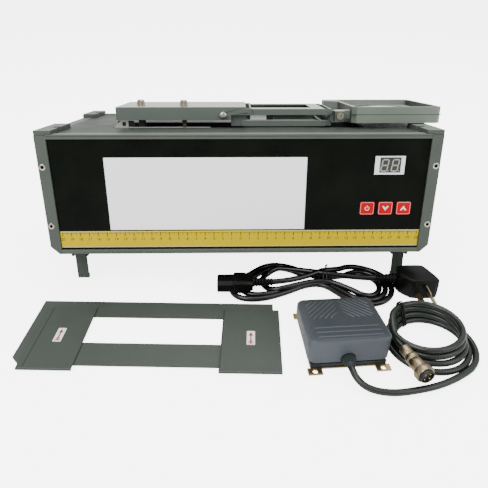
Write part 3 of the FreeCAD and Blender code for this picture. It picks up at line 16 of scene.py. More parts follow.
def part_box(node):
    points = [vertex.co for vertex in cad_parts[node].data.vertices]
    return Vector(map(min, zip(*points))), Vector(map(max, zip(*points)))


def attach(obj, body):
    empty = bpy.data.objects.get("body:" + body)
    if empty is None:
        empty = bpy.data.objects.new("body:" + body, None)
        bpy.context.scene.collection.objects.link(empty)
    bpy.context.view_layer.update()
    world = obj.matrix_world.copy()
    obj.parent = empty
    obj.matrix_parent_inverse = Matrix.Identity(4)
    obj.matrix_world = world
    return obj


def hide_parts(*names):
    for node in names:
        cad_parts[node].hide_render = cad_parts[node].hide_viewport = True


MM = 0.001
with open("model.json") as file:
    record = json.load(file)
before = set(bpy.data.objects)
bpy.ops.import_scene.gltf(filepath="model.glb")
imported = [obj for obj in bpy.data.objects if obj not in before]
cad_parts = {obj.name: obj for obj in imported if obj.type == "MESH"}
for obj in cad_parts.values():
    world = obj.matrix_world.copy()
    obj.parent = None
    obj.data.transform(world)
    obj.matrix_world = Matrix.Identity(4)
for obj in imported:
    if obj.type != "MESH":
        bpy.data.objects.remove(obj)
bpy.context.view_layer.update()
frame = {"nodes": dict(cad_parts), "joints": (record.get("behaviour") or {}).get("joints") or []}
JOINTS = {joint["name"]: joint for joint in frame["joints"]}
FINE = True


# ---- frames

def axes(right, back, up, origin):
    place = Matrix((right, back, up)).transposed().to_4x4()
    place.translation = origin
    return place


def shifted(place, x=0.0, y=0.0, z=0.0, turn=0.0, about="Z"):
    """The same frame moved by millimetres, then turned about one of its own axes by degrees."""
    return place @ Matrix.Translation(Vector((x, y, z)) * MM) @ Matrix.Rotation(math.radians(turn), 4, about)


UP = Vector(JOINTS["arm_swing"]["axis"]).normalized()
RIGHT = Vector((1, 0, 0))
LEVEL_UP = Vector((0, 0, 1))
BACK = UP.cross(RIGHT)
LEG_PIVOT_Y, LEG_PIVOT_Z = 22, -6
pivots = [Vector(JOINTS[name]["pos_m"]) for name in ("left_leg_fold", "right_leg_fold")]
corner = (pivots[0] + pivots[1]) / 2 - (BACK * LEG_PIVOT_Y + UP * LEG_PIVOT_Z) * MM
CASE = axes(RIGHT, BACK, UP, corner)
FRONT = axes(RIGHT, UP, -BACK, corner)
FLOOR = Matrix.Translation((corner.x, corner.y, 0))


def span(node, place):
    """Lowest and highest corner of a CAD node in one of the local frames, in millimetres."""
    inside = place.inverted()
    points = [inside @ v.co / MM for v in frame["nodes"][node].data.vertices]
    low = Vector([min(p[i] for p in points) for i in range(3)])
    high = Vector([max(p[i] for p in points) for i in range(3)])
    return low, high


def level_axes(node, direction):
    """A level frame at the middle of a node's footprint, turned to a joint's direction."""
    right = Vector(direction)
    right.z = 0
    right.normalize()
    if right.x < 0:
        right.negate()
    low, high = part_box(node)
    middle = (low + high) / 2
    middle.z = 0
    return axes(right, Vector((-right.y, right.x, 0)), LEVEL_UP, middle)


PEDAL = level_axes("pedal_base_plate", JOINTS["treadle_press"]["axis"])
MASK = level_axes("mask_frame", JOINTS["left_shutter_slide"]["axis"])


# ---- materials

def ramp(tree, factor, low, high, start=0.0, end=1.0):
    """Maps a value from start..end to low..high."""
    made = tree.nodes.new("ShaderNodeMapRange")
    for socket, value in (("From Min", start), ("From Max", end), ("To Min", low), ("To Max", high)):
        made.inputs[socket].default_value = value
    tree.links.new(factor, made.inputs["Value"])
    return made.outputs["Result"]


def surface(
    name, colour, rough, metallic=0.0, mottle=0.06, patch=30, grain=0.15, grain_size=1500, stretch=(1, 1, 1),
    top=None, coat=0.0, clear=0.0, ior=1.5, up=UP, gloss=0.3, glow=0.0, left=None,
):
    """A procedural finish: patches in colour and gloss, a fine grain, and painted light: a tone for faces that
    look up, lighter for a painted highlight and darker for painted shade, and a darker tone for faces that look
    left as painted shade.
    """
    made = bpy.data.materials.new(name)
    made.use_nodes = True
    tree = made.node_tree
    nodes, links = tree.nodes, tree.links
    shader = nodes["Principled BSDF"]
    for socket, value in (
        ("Base Color", (*colour, 1)), ("Metallic", metallic), ("Roughness", rough), ("IOR", ior),
        ("Specular IOR Level", gloss), ("Emission Color", (*colour, 1)), ("Emission Strength", glow),
        ("Coat Weight", coat), ("Coat Roughness", 0.08), ("Transmission Weight", clear),
    ):
        shader.inputs[socket].default_value = value
    place = nodes.new("ShaderNodeTexCoord")
    mapping = nodes.new("ShaderNodeMapping")
    mapping.inputs["Scale"].default_value = stretch
    links.new(place.outputs["Object"], mapping.inputs["Vector"])

    def noise(scale, detail):
        made_noise = nodes.new("ShaderNodeTexNoise")
        made_noise.inputs["Scale"].default_value = scale
        made_noise.inputs["Detail"].default_value = detail
        links.new(mapping.outputs["Vector"], made_noise.inputs["Vector"])
        return made_noise.outputs["Fac"]

    def mixed(factor, first, second):
        mix = nodes.new("ShaderNodeMix")
        mix.data_type = "RGBA"
        links.new(factor, mix.inputs["Factor"])
        for socket, value in ((mix.inputs[6], first), (mix.inputs[7], second)):
            if isinstance(value, tuple):
                socket.default_value = (*value, 1)
            else:
                links.new(value, socket)
        return mix.outputs[2]

    patches, fine = noise(patch, 5), noise(grain_size, 2)
    darker = tuple(c * (1 - mottle) for c in colour)
    paler = tuple(min(1, c * (1 + mottle)) for c in colour)
    result = mixed(ramp(tree, patches, 0, 1, 0.3, 0.7), darker, paler)
    # Painted light: the top colour is blended onto faces that look up, and the left colour onto faces that look
    # left.
    for tone, way in ((top, up), (left, -RIGHT)):
        if tone:
            facing = nodes.new("ShaderNodeVectorMath")
            facing.operation = "DOT_PRODUCT"
            facing.inputs[1].default_value = way
            geometry = nodes.new("ShaderNodeNewGeometry")
            links.new(geometry.outputs["Normal"], facing.inputs[0])
            result = mixed(ramp(tree, facing.outputs["Value"], 0, 1, 0.6, 0.95), result, tone)
    links.new(result, shader.inputs["Base Color"])
    gloss_range = max(0.02, rough - 0.06), min(1, rough + 0.08)
    links.new(ramp(tree, patches, *gloss_range, 0.3, 0.7), shader.inputs["Roughness"])
    bump = nodes.new("ShaderNodeBump")
    bump.inputs["Strength"].default_value = grain
    bump.inputs["Distance"].default_value = 0.0002
    links.new(fine, bump.inputs["Height"])
    links.new(bump.outputs["Normal"], shader.inputs["Normal"])
    return made


BRUSHED_X = (0.02, 1, 1)
# The top= and left= colours below are painted light: a lighter top is a painted highlight, and a darker top
# (case, foot switch's tread) or darker left side (arm, lens frame) is painted shade.
LOOKS = {
    "case": surface("case_paint", (0.045, 0.053, 0.044), 0.42, top=(0.042, 0.05, 0.042)),
    "bezel": surface("bezel_paint", (0.058, 0.07, 0.058), 0.45, top=(0.12, 0.14, 0.12)),
    "rail": surface("rail_paint", (0.066, 0.08, 0.064), 0.4, top=(0.13, 0.143, 0.125)),
    "arm": surface("arm_paint", (0.085, 0.105, 0.09), 0.36, top=(0.46, 0.48, 0.45), left=(0.03, 0.036, 0.03)),
    "lens_frame": surface(
        "lens_frame_paint", (0.15, 0.18, 0.148), 0.38, top=(0.3, 0.33, 0.3), left=(0.03, 0.035, 0.027)),
    "pad": surface("pad_plastic", (0.055, 0.065, 0.055), 0.55, grain=0.3, top=(0.15, 0.17, 0.15)),
    # Near-black: on the tray and on the stem sleeves it is painted shade from the arm above; on the lens frame's
    # seam and seat ring it is their own dark colour.
    "tray": surface("tray_dark_and_painted_shade", (0.012, 0.014, 0.012), 0.6, grain=0.3),
    "bracket": surface("bracket_zinc", (0.45, 0.46, 0.43), 0.35, metallic=0.6, grain=0.1),
    "panel": surface("panel_gloss", (0.0035, 0.0045, 0.003), 0.3, mottle=0.3, grain=0.02, gloss=0.05),
    # The glow is painted light: the window shines though no lamp is lit behind it.
    "window": surface("diffuser_opal", (0.88, 0.88, 0.92), 0.35, mottle=0.01, grain=0.1, glow=0.35),
    "ruler": surface("ruler_yellow", (0.54, 0.4, 0.0), 0.6, mottle=0.02, grain=0.02, gloss=0.0),
    "ruler_pale": surface("ruler_pale", (0.5, 0.46, 0.22), 0.4, mottle=0.03, grain=0.05),
    "ink": surface("ruler_ink", (0.008, 0.008, 0.006), 0.5, mottle=0.1, grain=0.02, gloss=0.05),
    # The glow is painted light: the white plastic shines though no lamp lights it.
    "white": surface("white_plastic", (0.78, 0.79, 0.82), 0.35, mottle=0.03, grain=0.1, glow=0.1),
    "display": surface("display_face", (0.05, 0.052, 0.046), 0.2, mottle=0.04, grain=0.02, gloss=0.1),
    "segment": surface("display_segment", (0.34, 0.34, 0.3), 0.3, mottle=0.03, grain=0.02),
    "key": surface("key_red", (0.44, 0.002, 0.004), 0.35, mottle=0.05, grain=0.05, gloss=0.1),
    "key_line": surface("key_line", (0.75, 0.25, 0.27), 0.35, mottle=0.03, grain=0.02),
    "key_mark": surface("key_mark", (0.8, 0.76, 0.74), 0.35, mottle=0.03, grain=0.02),
    "nickel": surface("nickel", (0.3, 0.27, 0.2), 0.22, metallic=1, mottle=0.1, grain=0.06),
    "chrome": surface("chrome", (0.36, 0.35, 0.32), 0.1, metallic=1, mottle=0.05, grain=0.02),
    "brass": surface("brass", (0.5, 0.37, 0.18), 0.25, metallic=1, mottle=0.12, grain=0.08),
    "screw": surface("screw_nickel", (0.6, 0.56, 0.46), 0.25, metallic=1, mottle=0.1, grain=0.05),
    "old_brass": surface("old_brass", (0.26, 0.21, 0.13), 0.3, metallic=1, mottle=0.15, patch=90, grain=0.08),
    "zinc": surface("yellow_zinc", (0.42, 0.31, 0.13), 0.32, metallic=1, mottle=0.2, patch=80, grain=0.1),
    "steel": surface("steel", (0.4, 0.4, 0.39), 0.3, metallic=1, mottle=0.08, grain=0.1),
    "spring": surface("spring_steel", (0.05, 0.055, 0.05), 0.4, metallic=1, mottle=0.1, grain=0.1),
    "aluminium": surface(
        "aluminium", (0.6, 0.61, 0.62), 0.35, metallic=1, mottle=0.08, grain=0.2, stretch=BRUSHED_X),
    "lamp_board": surface("lamp_board", (0.75, 0.75, 0.72), 0.5, mottle=0.04),
    "board": surface("board_green", (0.02, 0.1, 0.035), 0.35, mottle=0.2, patch=120),
    "black": surface("black_plastic", (0.012, 0.012, 0.013), 0.4, mottle=0.25, grain=0.2),
    "dark": surface("dark_hole", (0.003, 0.003, 0.003), 0.8, mottle=0.2, gloss=0.0),
    "rocker": surface("rocker_red", (0.35, 0.01, 0.01), 0.25, mottle=0.1, grain=0.03, coat=0.4),
    "foot_rubber": surface("foot_rubber", (0.02, 0.02, 0.02), 0.75, mottle=0.2, grain=0.4),
    "leg": surface("leg_plastic", (0.035, 0.046, 0.036), 0.42, grain=0.2),
    "leg_base": surface("leg_base_plastic", (0.015, 0.018, 0.016), 0.55, grain=0.2),
    "cover": surface(
        "pedal_cover_plastic", (0.06, 0.07, 0.082), 0.4, mottle=0.08, grain=0.25, top=(0.024, 0.031, 0.037),
        up=LEVEL_UP),
    "rib": surface("pedal_rib_plastic", (0.045, 0.055, 0.063), 0.35, mottle=0.08, grain=0.15, up=LEVEL_UP),
    "housing": surface("pedal_housing_plastic", (0.014, 0.02, 0.022), 0.45, grain=0.2),
    "gland": surface("gland_rubber", (0.016, 0.022, 0.022), 0.6, grain=0.3),
    "foot_cord": surface(
        "foot_cord_rubber", (0.008, 0.012, 0.008), 0.32, mottle=0.2, grain=0.25, grain_size=700, gloss=0.4),
    "mains": surface(
        "mains_rubber", (0.002, 0.0022, 0.002), 0.2, gloss=0.38, mottle=0.3, patch=60, grain_size=900),
    "moulded": surface(
        "moulded_rubber", (0.002, 0.0025, 0.002), 0.32, gloss=0.14, mottle=0.3, patch=60, grain=0.2),
    "tie": surface("tie_wire", (0.005, 0.005, 0.005), 0.4, mottle=0.2, grain=0.1),
    "mask": surface("mask_paint", (0.038, 0.048, 0.04), 0.5, mottle=0.05, grain=0.2, up=LEVEL_UP),
    "shutter": surface("shutter_paint", (0.034, 0.044, 0.036), 0.5, mottle=0.05, grain=0.2, up=LEVEL_UP),
    "fold": surface("mask_fold", (0.07, 0.085, 0.074), 0.45, mottle=0.05, grain=0.1, up=LEVEL_UP),
    "label": surface("label_paper", (0.75, 0.75, 0.73), 0.6, mottle=0.03, grain=0.1),
    "arrow": surface("arrow_ink", (0.25, 0.02, 0.03), 0.5, mottle=0.08, grain=0.02),
    "lens": surface("lens_acrylic", (0.95, 0.96, 0.97), 0.05, mottle=0.01, grain=0.01, clear=0.35, ior=1.2),
}


# ---- building

def add(name, data):
    made = bpy.data.objects.new(name, data)
    bpy.context.scene.collection.objects.link(made)
    return made


def put(name, parts, place, look, body, round_by=0.0, steps=2, node=None):
    """Places a mesh or a list of parts, given in a local frame's millimetres, rounds its edges and lets it ride.

    The piece replaces a CAD node if one is named.
    """
    mesh = merged(parts) if isinstance(parts, list) else parts
    mesh.transform(place @ Matrix.Scale(MM, 4))
    made = add(name, mesh)
    mesh.materials.append(LOOKS[look])
    mesh.polygons.foreach_set("use_smooth", [True] * len(mesh.polygons))
    mesh.set_sharp_from_angle(angle=math.radians(40))
    if round_by:
        rounded(made, round_by * MM, steps)
    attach(made, body)
    if node:
        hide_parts(node)
    return made


def rounded(piece, width, steps):
    bevel = piece.modifiers.new("rounded", "BEVEL")
    bevel.width = width
    bevel.segments = steps if FINE else 1
    bevel.limit_method = "ANGLE"
    bevel.angle_limit = math.radians(30)
    bevel.harden_normals = True


def merged(parts):
    """One mesh of several, each given as a list of corners and a list of faces."""
    corners, faces = [], []
    for part_corners, part_faces in parts:
        start = len(corners)
        corners += [tuple(c) for c in part_corners]
        faces += [tuple(start + i for i in face) for face in part_faces]
    mesh = bpy.data.meshes.new("piece")
    mesh.from_pydata(corners, [], faces)
    shape = bmesh.new()
    shape.from_mesh(mesh)
    bmesh.ops.recalc_face_normals(shape, faces=shape.faces)
    shape.to_mesh(mesh)
    shape.free()
    return mesh


def stack(rings, closed=True):
    """Corners and faces of a skin through rings of points that all have the same count, with both ends capped."""
    count = len(rings[0])
    corners = [point for ring in rings for point in ring]
    faces = []
    for level in range(len(rings) - 1):
        for i in range(count):
            j = (i + 1) % count
            faces.append((level * count + i, level * count + j, (level + 1) * count + j, (level + 1) * count + i))
    if closed:
        faces.append(tuple(range(count)))
        faces.append(tuple((len(rings) - 1) * count + i for i in range(count)))
    return corners, faces


def moved(part, x=0.0, y=0.0, base=0.0, way=1):
    """The same corners shifted, and turned upside down if way is -1."""
    corners, faces = part
    return [(x + cx, y + cy, base + way * cz) for cx, cy, cz in corners], faces


def slab(outline, low, high):
    """A flat outline made thick along Z."""
    return stack([[(x, y, z) for x, y in outline] for z in (low, high)])


def brick(low, high):
    return slab([(low[0], low[1]), (high[0], low[1]), (high[0], high[1]), (low[0], high[1])], low[2], high[2])


def round_rectangle(left, low, right, high, radius, steps=6):
    points = []
    for x, y, start in (
        (right - radius, high - radius, 0), (left + radius, high - radius, 90),
        (left + radius, low + radius, 180), (right - radius, low + radius, 270),
    ):
        for step in range(steps + 1):
            angle = math.radians(start + 90 * step / steps)
            points.append((x + radius * math.cos(angle), y + radius * math.sin(angle)))
    return points


def drawn_in(low, high, inset, radius):
    """A span's outline with rounded corners, drawn in by inset, or grown if it is negative."""
    return round_rectangle(low.x + inset, low.y + inset, high.x - inset, high.y - inset, radius)


def circle(radius, count=48, x=0.0, y=0.0):
    return [
        (x + radius * math.cos(2 * math.pi * i / count), y + radius * math.sin(2 * math.pi * i / count))
        for i in range(count)
    ]


KNURL_DEPTH = 0.35


def turned(profile, count=48, knurl=()):
    """A turned part about Z. The profile lists (radius, height), and knurl names the levels that are knurled."""
    rings = []
    for level, (radius, height) in enumerate(profile):
        ring = []
        for i in range(count):
            size, turn = radius - (KNURL_DEPTH if level in knurl and i % 2 else 0), 2 * math.pi * i / count
            ring.append((size * math.cos(turn), size * math.sin(turn), height))
        rings.append(ring)
    return stack(rings)


def carved(piece, parts, place):
    """Cuts closed shapes, given in a local frame's millimetres, out of a piece."""
    mesh = merged(parts)
    mesh.transform(place @ Matrix.Scale(MM, 4))
    tool = add("tool", mesh)
    cut = piece.modifiers.new("cut", "BOOLEAN")
    cut.object, cut.operation, cut.solver = tool, "DIFFERENCE", "EXACT"
    graph = bpy.context.evaluated_depsgraph_get()
    bpy.context.view_layer.update()
    result = bpy.data.meshes.new_from_object(piece.evaluated_get(graph))
    piece.modifiers.remove(cut)
    bpy.data.objects.remove(tool)
    look = piece.data.materials[0]
    piece.data = result
    if not result.materials:
        result.materials.append(look)


def tube(name, points, radius, look, body, looped=False, sides=4):
    """A round wire or cord along points of the shared frame, in metres."""
    curve = bpy.data.curves.new(name, "CURVE")
    curve.dimensions = "3D"
    curve.bevel_depth = radius
    curve.bevel_resolution = sides if FINE else 2
    curve.resolution_u = 6 if FINE else 3
    curve.use_fill_caps = not looped
    line = curve.splines.new("NURBS")
    line.points.add(len(points) - 1)
    for at, point in zip(line.points, points):
        at.co = (*point, 1)
    line.use_cyclic_u = looped
    line.order_u = 3
    line.use_endpoint_u = not looped
    made = add(name, curve)
    curve.materials.append(LOOKS[look])
    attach(made, body)
    return made


def wire(name, points, radius, place, look, body, looped=False):
    """A tube whose points and radius are given in a local frame's millimetres."""
    return tube(name, [place @ (Vector(point) * MM) for point in points], radius * MM, look, body, looped)


def lettering(name, words, size, place, look, body, height):
    """Printed marks: words is a list of (text, x, y)."""
    shape = bmesh.new()
    for text, x, y in words:
        font = bpy.data.curves.new("mark", "FONT")
        font.body, font.size, font.align_x, font.align_y, font.extrude = text, size, "CENTER", "CENTER", 0.03
        temporary = add("mark", font)
        graph = bpy.context.evaluated_depsgraph_get()
        mesh = bpy.data.meshes.new_from_object(temporary.evaluated_get(graph))
        mesh.transform(Matrix.Translation((x, y, height)))
        shape.from_mesh(mesh)
        bpy.data.meshes.remove(mesh)
        bpy.data.objects.remove(temporary)
    mesh = bpy.data.meshes.new(name)
    shape.to_mesh(mesh)
    shape.free()
    mesh.materials.clear()
    return put(name, mesh, place, look, body)


# ---- the CAD's own pieces

def dress(node, look, width=0.35, steps=2):
    """A CAD piece that keeps its shape: its material and slightly rounded edges."""
    piece = frame["nodes"][node]
    piece.data.materials.clear()
    piece.data.materials.append(LOOKS[look])
    if width:
        weld = piece.modifiers.new("weld", "WELD")
        weld.merge_threshold = 0.000005
        rounded(piece, width * MM, steps)


def dress_all():
    for node, look, width in (
        ("bottom_cover", "case", 0.3), ("top_cover", "case", 0.3), ("left_side_frame", "bezel", 0.5),
        ("right_side_frame", "bezel", 0.5), ("cross_rails", "rail", 0.3), ("front_panel", "panel", 0.2),
        ("window_diffuser", "window", 0.25), ("ruler_strip", "ruler", 0.15), ("light_box", "white", 0.2),
        ("led_board", "lamp_board", 0.1), ("heat_sink", "aluminium", 0.2), ("control_board", "board", 0.1),
        ("power_supply", "aluminium", 0.2), ("rear_panel", "case", 0.2), ("mains_inlet", "black", 0.3),
        ("power_rocker", "rocker", 0.5), ("foot_switch_socket", "nickel", 0.3), ("fan_frames", "black", 0.4),
        ("fan_rotor_left", "black", 0.2), ("fan_rotor_right", "black", 0.2), ("arm_tray", "tray", 0.3),
        ("top_pads", "pad", 1.6), ("rear_feet", "foot_rubber", 0.8), ("tilt_foot_bases", "leg_base", 0.5),
        ("left_tilt_leg", "leg", 0.7), ("right_tilt_leg", "leg", 0.7), ("arm_base", "arm", 0.3),
        ("upper_arm", "arm", 0.3), ("lower_arm", "arm", 0.3), ("head_carrier", "arm", 0.4),
        ("head_screw", "nickel", 0.3), ("lens_frame", "lens_frame", 0.7), ("magnifier_lens", "lens", 0.3),
        ("pedal_base_plate", "zinc", 0.3), ("pedal_housing", "housing", 0.5), ("pedal_pin", "steel", 0.2),
        ("pedal_spring", "steel", 0.2), ("micro_switch", "black", 0.4), ("mask_frame", "mask", 0.2),
        ("left_shutter", "shutter", 0.25), ("right_shutter", "shutter", 0.25),
    ):
        dress(node, look, width)


# ---- front of the case

def ruler_marks():
    """A tick each millimetre, longer at 5 and 10 mm, the centimetres' numbers, and a pale line at each edge."""
    low, high = span("ruler_strip", FRONT)
    face, edge = high.z, 0.9
    strips = [
        slab(round_rectangle(low.x + 0.3, y, high.x - 0.3, y + edge, 0.3), face - 0.2, face + 0.06)
        for y in (high.y - edge - 0.2, low.y + 0.2)
    ]
    put("ruler_edges", strips, FRONT, "ruler_pale", "case")
    top = high.y - edge - 0.3
    marks = []
    for step in range(-200, 201):
        if step % 10 == 0:
            length, half = 4.6, 0.36
        elif step % 5 == 0:
            length, half = 2.6, 0.22
        elif FINE:
            length, half = 1.5, 0.16
        else:
            continue
        marks.append(brick((step - half, top - length, face - 0.1), (step + half, top, face + 0.05)))
    put("ruler_ticks", marks, FRONT, "ink", "case")
    numbers = [("%d" % abs(tens), tens * 10, high.y - 9.4) for tens in range(-20, 21)]
    lettering("ruler_numbers", numbers, 4.6, FRONT, "ink", "case", face + 0.03)


def window_seat():
    """The dark line round the window."""
    low, high = span("window_diffuser", FRONT)
    seat = ring_slab(drawn_in(low, high, -1.6, 1.2), drawn_in(low, high, -0.6, 0.6), high.z - 0.5, high.z - 0.1)
    put("window_seat", [seat], FRONT, "black", "case", 0.1, 1)


def ring_slab(outer, inner, low, high):
    """A flat frame between two outlines with the same count of points, made thick along Z."""
    count = len(outer)
    corners = [(x, y, z) for z in (low, high) for x, y in outer + inner]
    faces = []
    for i in range(count):
        j = (i + 1) % count
        faces += [
            (i, j, count + j, count + i),
            (2 * count + i, 3 * count + i, 3 * count + j, 2 * count + j),
            (i, 2 * count + i, 2 * count + j, j),
            (count + i, count + j, 3 * count + j, 3 * count + i),
        ]
    return corners, faces


def display():
    """The white frame, the dark face and two seven-bar digits."""
    front, panel = span("display_module", FRONT)[1].z, span("front_panel", FRONT)[1].z
    left, right, bottom, top = 145.0, 178.0, 90.0, 110.5
    frame_body = slab(round_rectangle(left + 0.1, bottom + 0.1, right - 0.1, top - 0.1, 0.6), panel - 7.6, front)
    put("display_body", [frame_body], FRONT, "white", "case", 0.3, 2, "display_module")
    face = front - 0.02
    glass = slab(round_rectangle(left + 5.5, bottom + 2.2, right - 4.5, top - 1.6, 0.8), face - 0.3, face + 0.12)
    put("display_window", [glass], FRONT, "display", "case", 0.1, 1)
    wide, tall, thick, slant, pitch = 6.6, 12.4, 1.25, 0.14, 11.2
    half = tall / 2
    bars = [((0, y), (wide, y)) for y in (0, half, tall)]
    bars += [((x, y), (x, y + half)) for x in (0, wide) for y in (0, half)]
    segments, dots = [], []
    for digit in (0, 1):
        x0, y0 = left + 6.9 + digit * pitch, bottom + 4
        for (ax, ay), (bx, by) in bars:
            along = Vector((bx - ax, by - ay)).normalized()
            side = Vector((-along.y, along.x)) * thick / 2
            a = Vector((ax, ay)) + along * 0.75
            b = Vector((bx, by)) - along * 0.75
            outline = [a - along * 0.5, a - side, b - side, b + along * 0.5, b + side, a + side]
            segments.append(slab([(x0 + p.x + slant * p.y, y0 + p.y) for p in outline], face + 0.1, face + 0.2))
        dots.append(slab(circle(0.6, 16, x0 + wide + 1.7, y0 + 0.2), face + 0.1, face + 0.2))
    put("display_segments", segments + dots, FRONT, "segment", "case")


def keys():
    """Each key's cap with its flange behind the panel, a pale line round its face, and its mark."""
    for node, body in (("key_power", "power_key"), ("key_down", "down_key"), ("key_up", "up_key")):
        low, high = span(node, FRONT)
        cap = slab(drawn_in(low, high, 1, 1.6), low.z, high.z)
        flange = slab(drawn_in(low, high, 0, 1.6), -6.6, -5.4)
        put(node + "_cap", [cap, flange], FRONT, "key", body, 0.45, 3, node)
        under, over = high.z - 0.1, high.z + 0.05
        line = ring_slab(drawn_in(low, high, 1.5, 1.5), drawn_in(low, high, 2.1, 1.1), under, over)
        put(node + "_line", [line], FRONT, "key_line", body)
        x, y = (low.x + high.x) / 2, (low.y + high.y) / 2
        if node == "key_power":
            outer = [(x + 2.6 * math.cos(a), y + 2.6 * math.sin(a)) for a in spread(130, 410, 20)]
            inner = [(x + 2.0 * math.cos(a), y + 2.0 * math.sin(a)) for a in spread(410, 130, 20)]
            marks = [slab(outer + inner, under, over), brick((x - 0.3, y + 0.4, under), (x + 0.3, y + 3.3, over))]
        else:
            way = 1 if node == "key_up" else -1
            arrow = [(0, 2.8), (3.5, -2.1), (2.2, -2.9), (0, -0.4), (-2.2, -2.9), (-3.5, -2.1)]
            marks = [slab([(x + across, y + way * up) for across, up in arrow], under, over)]
        put(node + "_mark", marks, FRONT, "key_mark", body)


def spread(start, end, count):
    """Evenly spaced angles from start to end in degrees, as radians."""
    return [math.radians(start + (end - start) * i / (count - 1)) for i in range(count)]


def screws():
    """Countersunk socket screws in the side frames' corners, all alike."""
    low, high = span("case_screws", FRONT)
    radius = 3.3
    profile = [
        (1.75, -4.5), (1.75, -1.2), (2.6, -1.1), (3.2, -0.35), (radius, 0.0), (3.1, 0.14), (1.95, 0.18),
        (1.75, -0.1), (1.7, -0.9),
    ]
    socket = [(1.62 * math.cos(a), 1.62 * math.sin(a)) for a in spread(0, 300, 6)]
    heads, sockets, rings = [], [], []
    for x in (low.x + radius, high.x - radius):
        for y in (low.y + radius, high.y - radius):
            for base, way in ((high.z, 1), (low.z, -1)):
                heads.append(moved(turned(profile, 40), x, y, base, way))
                sockets.append(moved(slab(socket, -0.85, -0.05), x, y, base, way))
                ring = ring_slab(circle(4.1, 40, x, y), circle(3.32, 40, x, y), -0.2, 0.05)
                rings.append(moved(ring, base=base, way=way))
    put("case_screw_heads", heads, FRONT, "screw", "case", node="case_screws")
    put("case_screw_sockets", sockets, FRONT, "dark", "case")
    put("case_screw_seats", rings, FRONT, "bezel", "case", 0.1, 1)


# ---- arm

def knob(name, node, body, place, profile, knurl, look, slot_wide):
    """A turned screw or knob with a knurled head, and a slot across its top unless slot_wide is 0."""
    piece = put(name, [turned(profile, 56, knurl)], place, look, body, node=node)
    if slot_wide:
        reach, top = max(r for r, z in profile) + 1, profile[-1][1]
        carved(piece, [brick((-reach, -slot_wide / 2, top - 1.3), (reach, slot_wide / 2, top + 2))], place)
        rounded(piece, 0.12 * MM, 1)


def arm_knobs():
    """The swing post, lock screw and tension knob, dark sleeves round the first two's stems as painted shade
    under the arm, and the line between them.
    """
    web = span("arm_base", CASE)[1].z
    post_low, post_high = span("swing_post", CASE)
    lock_low, lock_high = span("lock_screw", CASE)
    dome_low, dome_high = span("tension_knob", FRONT)
    post, lock, dome = (post_low + post_high) / 2, (lock_low + lock_high) / 2, (dome_low + dome_high) / 2
    knob(
        "swing_post_bolt", "swing_post", "case", shifted(CASE, post.x, post.y),
        [(9, post_low.z), (9, post_low.z + 3), (4, post_low.z + 3), (4, web + 0.35), (4.2, web + 0.35),
         (4.4, web + 0.8), (4.4, web + 1.4), (4.4, web + 5.2), (4.0, web + 6.2), (3.0, post_high.z)],
        (6, 7), "nickel", 1.3,
    )
    knob(
        "lock_screw_bolt", "lock_screw", "lock", shifted(CASE, lock.x, lock.y),
        [(2.1, lock_low.z), (2.5, lock_low.z + 1), (2.5, web + 0.1), (4.1, web + 0.1), (4.4, web + 0.6),
         (4.4, web + 1.2), (4.4, web + 5), (4.0, web + 6.2), (3.0, lock_high.z)],
        (5, 6), "nickel", 1.3,
    )
    knob(
        "tension_knob_dome", "tension_knob", "tension", shifted(FRONT, dome.x, dome.y),
        [(2, dome_low.z), (2, -55.4), (4.5, -55.4), (4.5, -54.8), (4.5, -52.6), (4.2, -51.8), (3.4, -51),
         (2.2, -50.6), (0.6, dome_high.z)],
        (3, 4), "chrome", 0,
    )
    # Painted shade: dark tubes round the post's and the lock screw's stems, where the arm shades them.
    top = web - 12.5
    for name, body, middle, low, radius in (
        ("swing_post_shade_sleeve", "case", post, post_low, 4.2), ("lock_screw_shade_sleeve", "lock", lock, lock_low, 2.7),
    ):
        base = low.z + 3.2
        skin = [(radius, base), (radius, top), (radius - 0.4, top), (radius - 0.4, base)]
        put(name, [moved(turned(skin, 32), middle.x, middle.y)], CASE, "tray", body)
    y = lock.y + 1.5
    line = slab(round_rectangle(post.x + 8, y - 0.25, lock.x - 6, y + 0.25, 0.2), web - 0.3, web + 0.04)
    put("arm_scale_line", [line], CASE, "bezel", "base_arm")


def tray_bracket():
    """The bright plated bracket that stands on the tray's front edge at its left end, and the bright edge."""
    low, high = span("arm_tray", FRONT)
    face = high.z
    left, right, top = low.x + 2, low.x + 19, high.y
    foot = span("top_cover", FRONT)[1].y + 0.1
    outer = [(left, foot), (right, foot), (right, top), (left + 8, top)]
    hole = [(right - 7, foot + 2), (right - 3, foot + 2), (right - 3, top - 1.5), (right - 7, top - 1.5)]
    put("tray_bracket_plate", [ring_slab(outer, hole, face - 0.2, face + 0.35)], FRONT, "bracket", "case", 0.1, 1)
    edge = brick((right, foot, face - 0.2), (right + 95, foot + 0.9, face + 0.3))
    put("tray_bright_edge", [edge], FRONT, "bracket", "case", 0.1, 1)


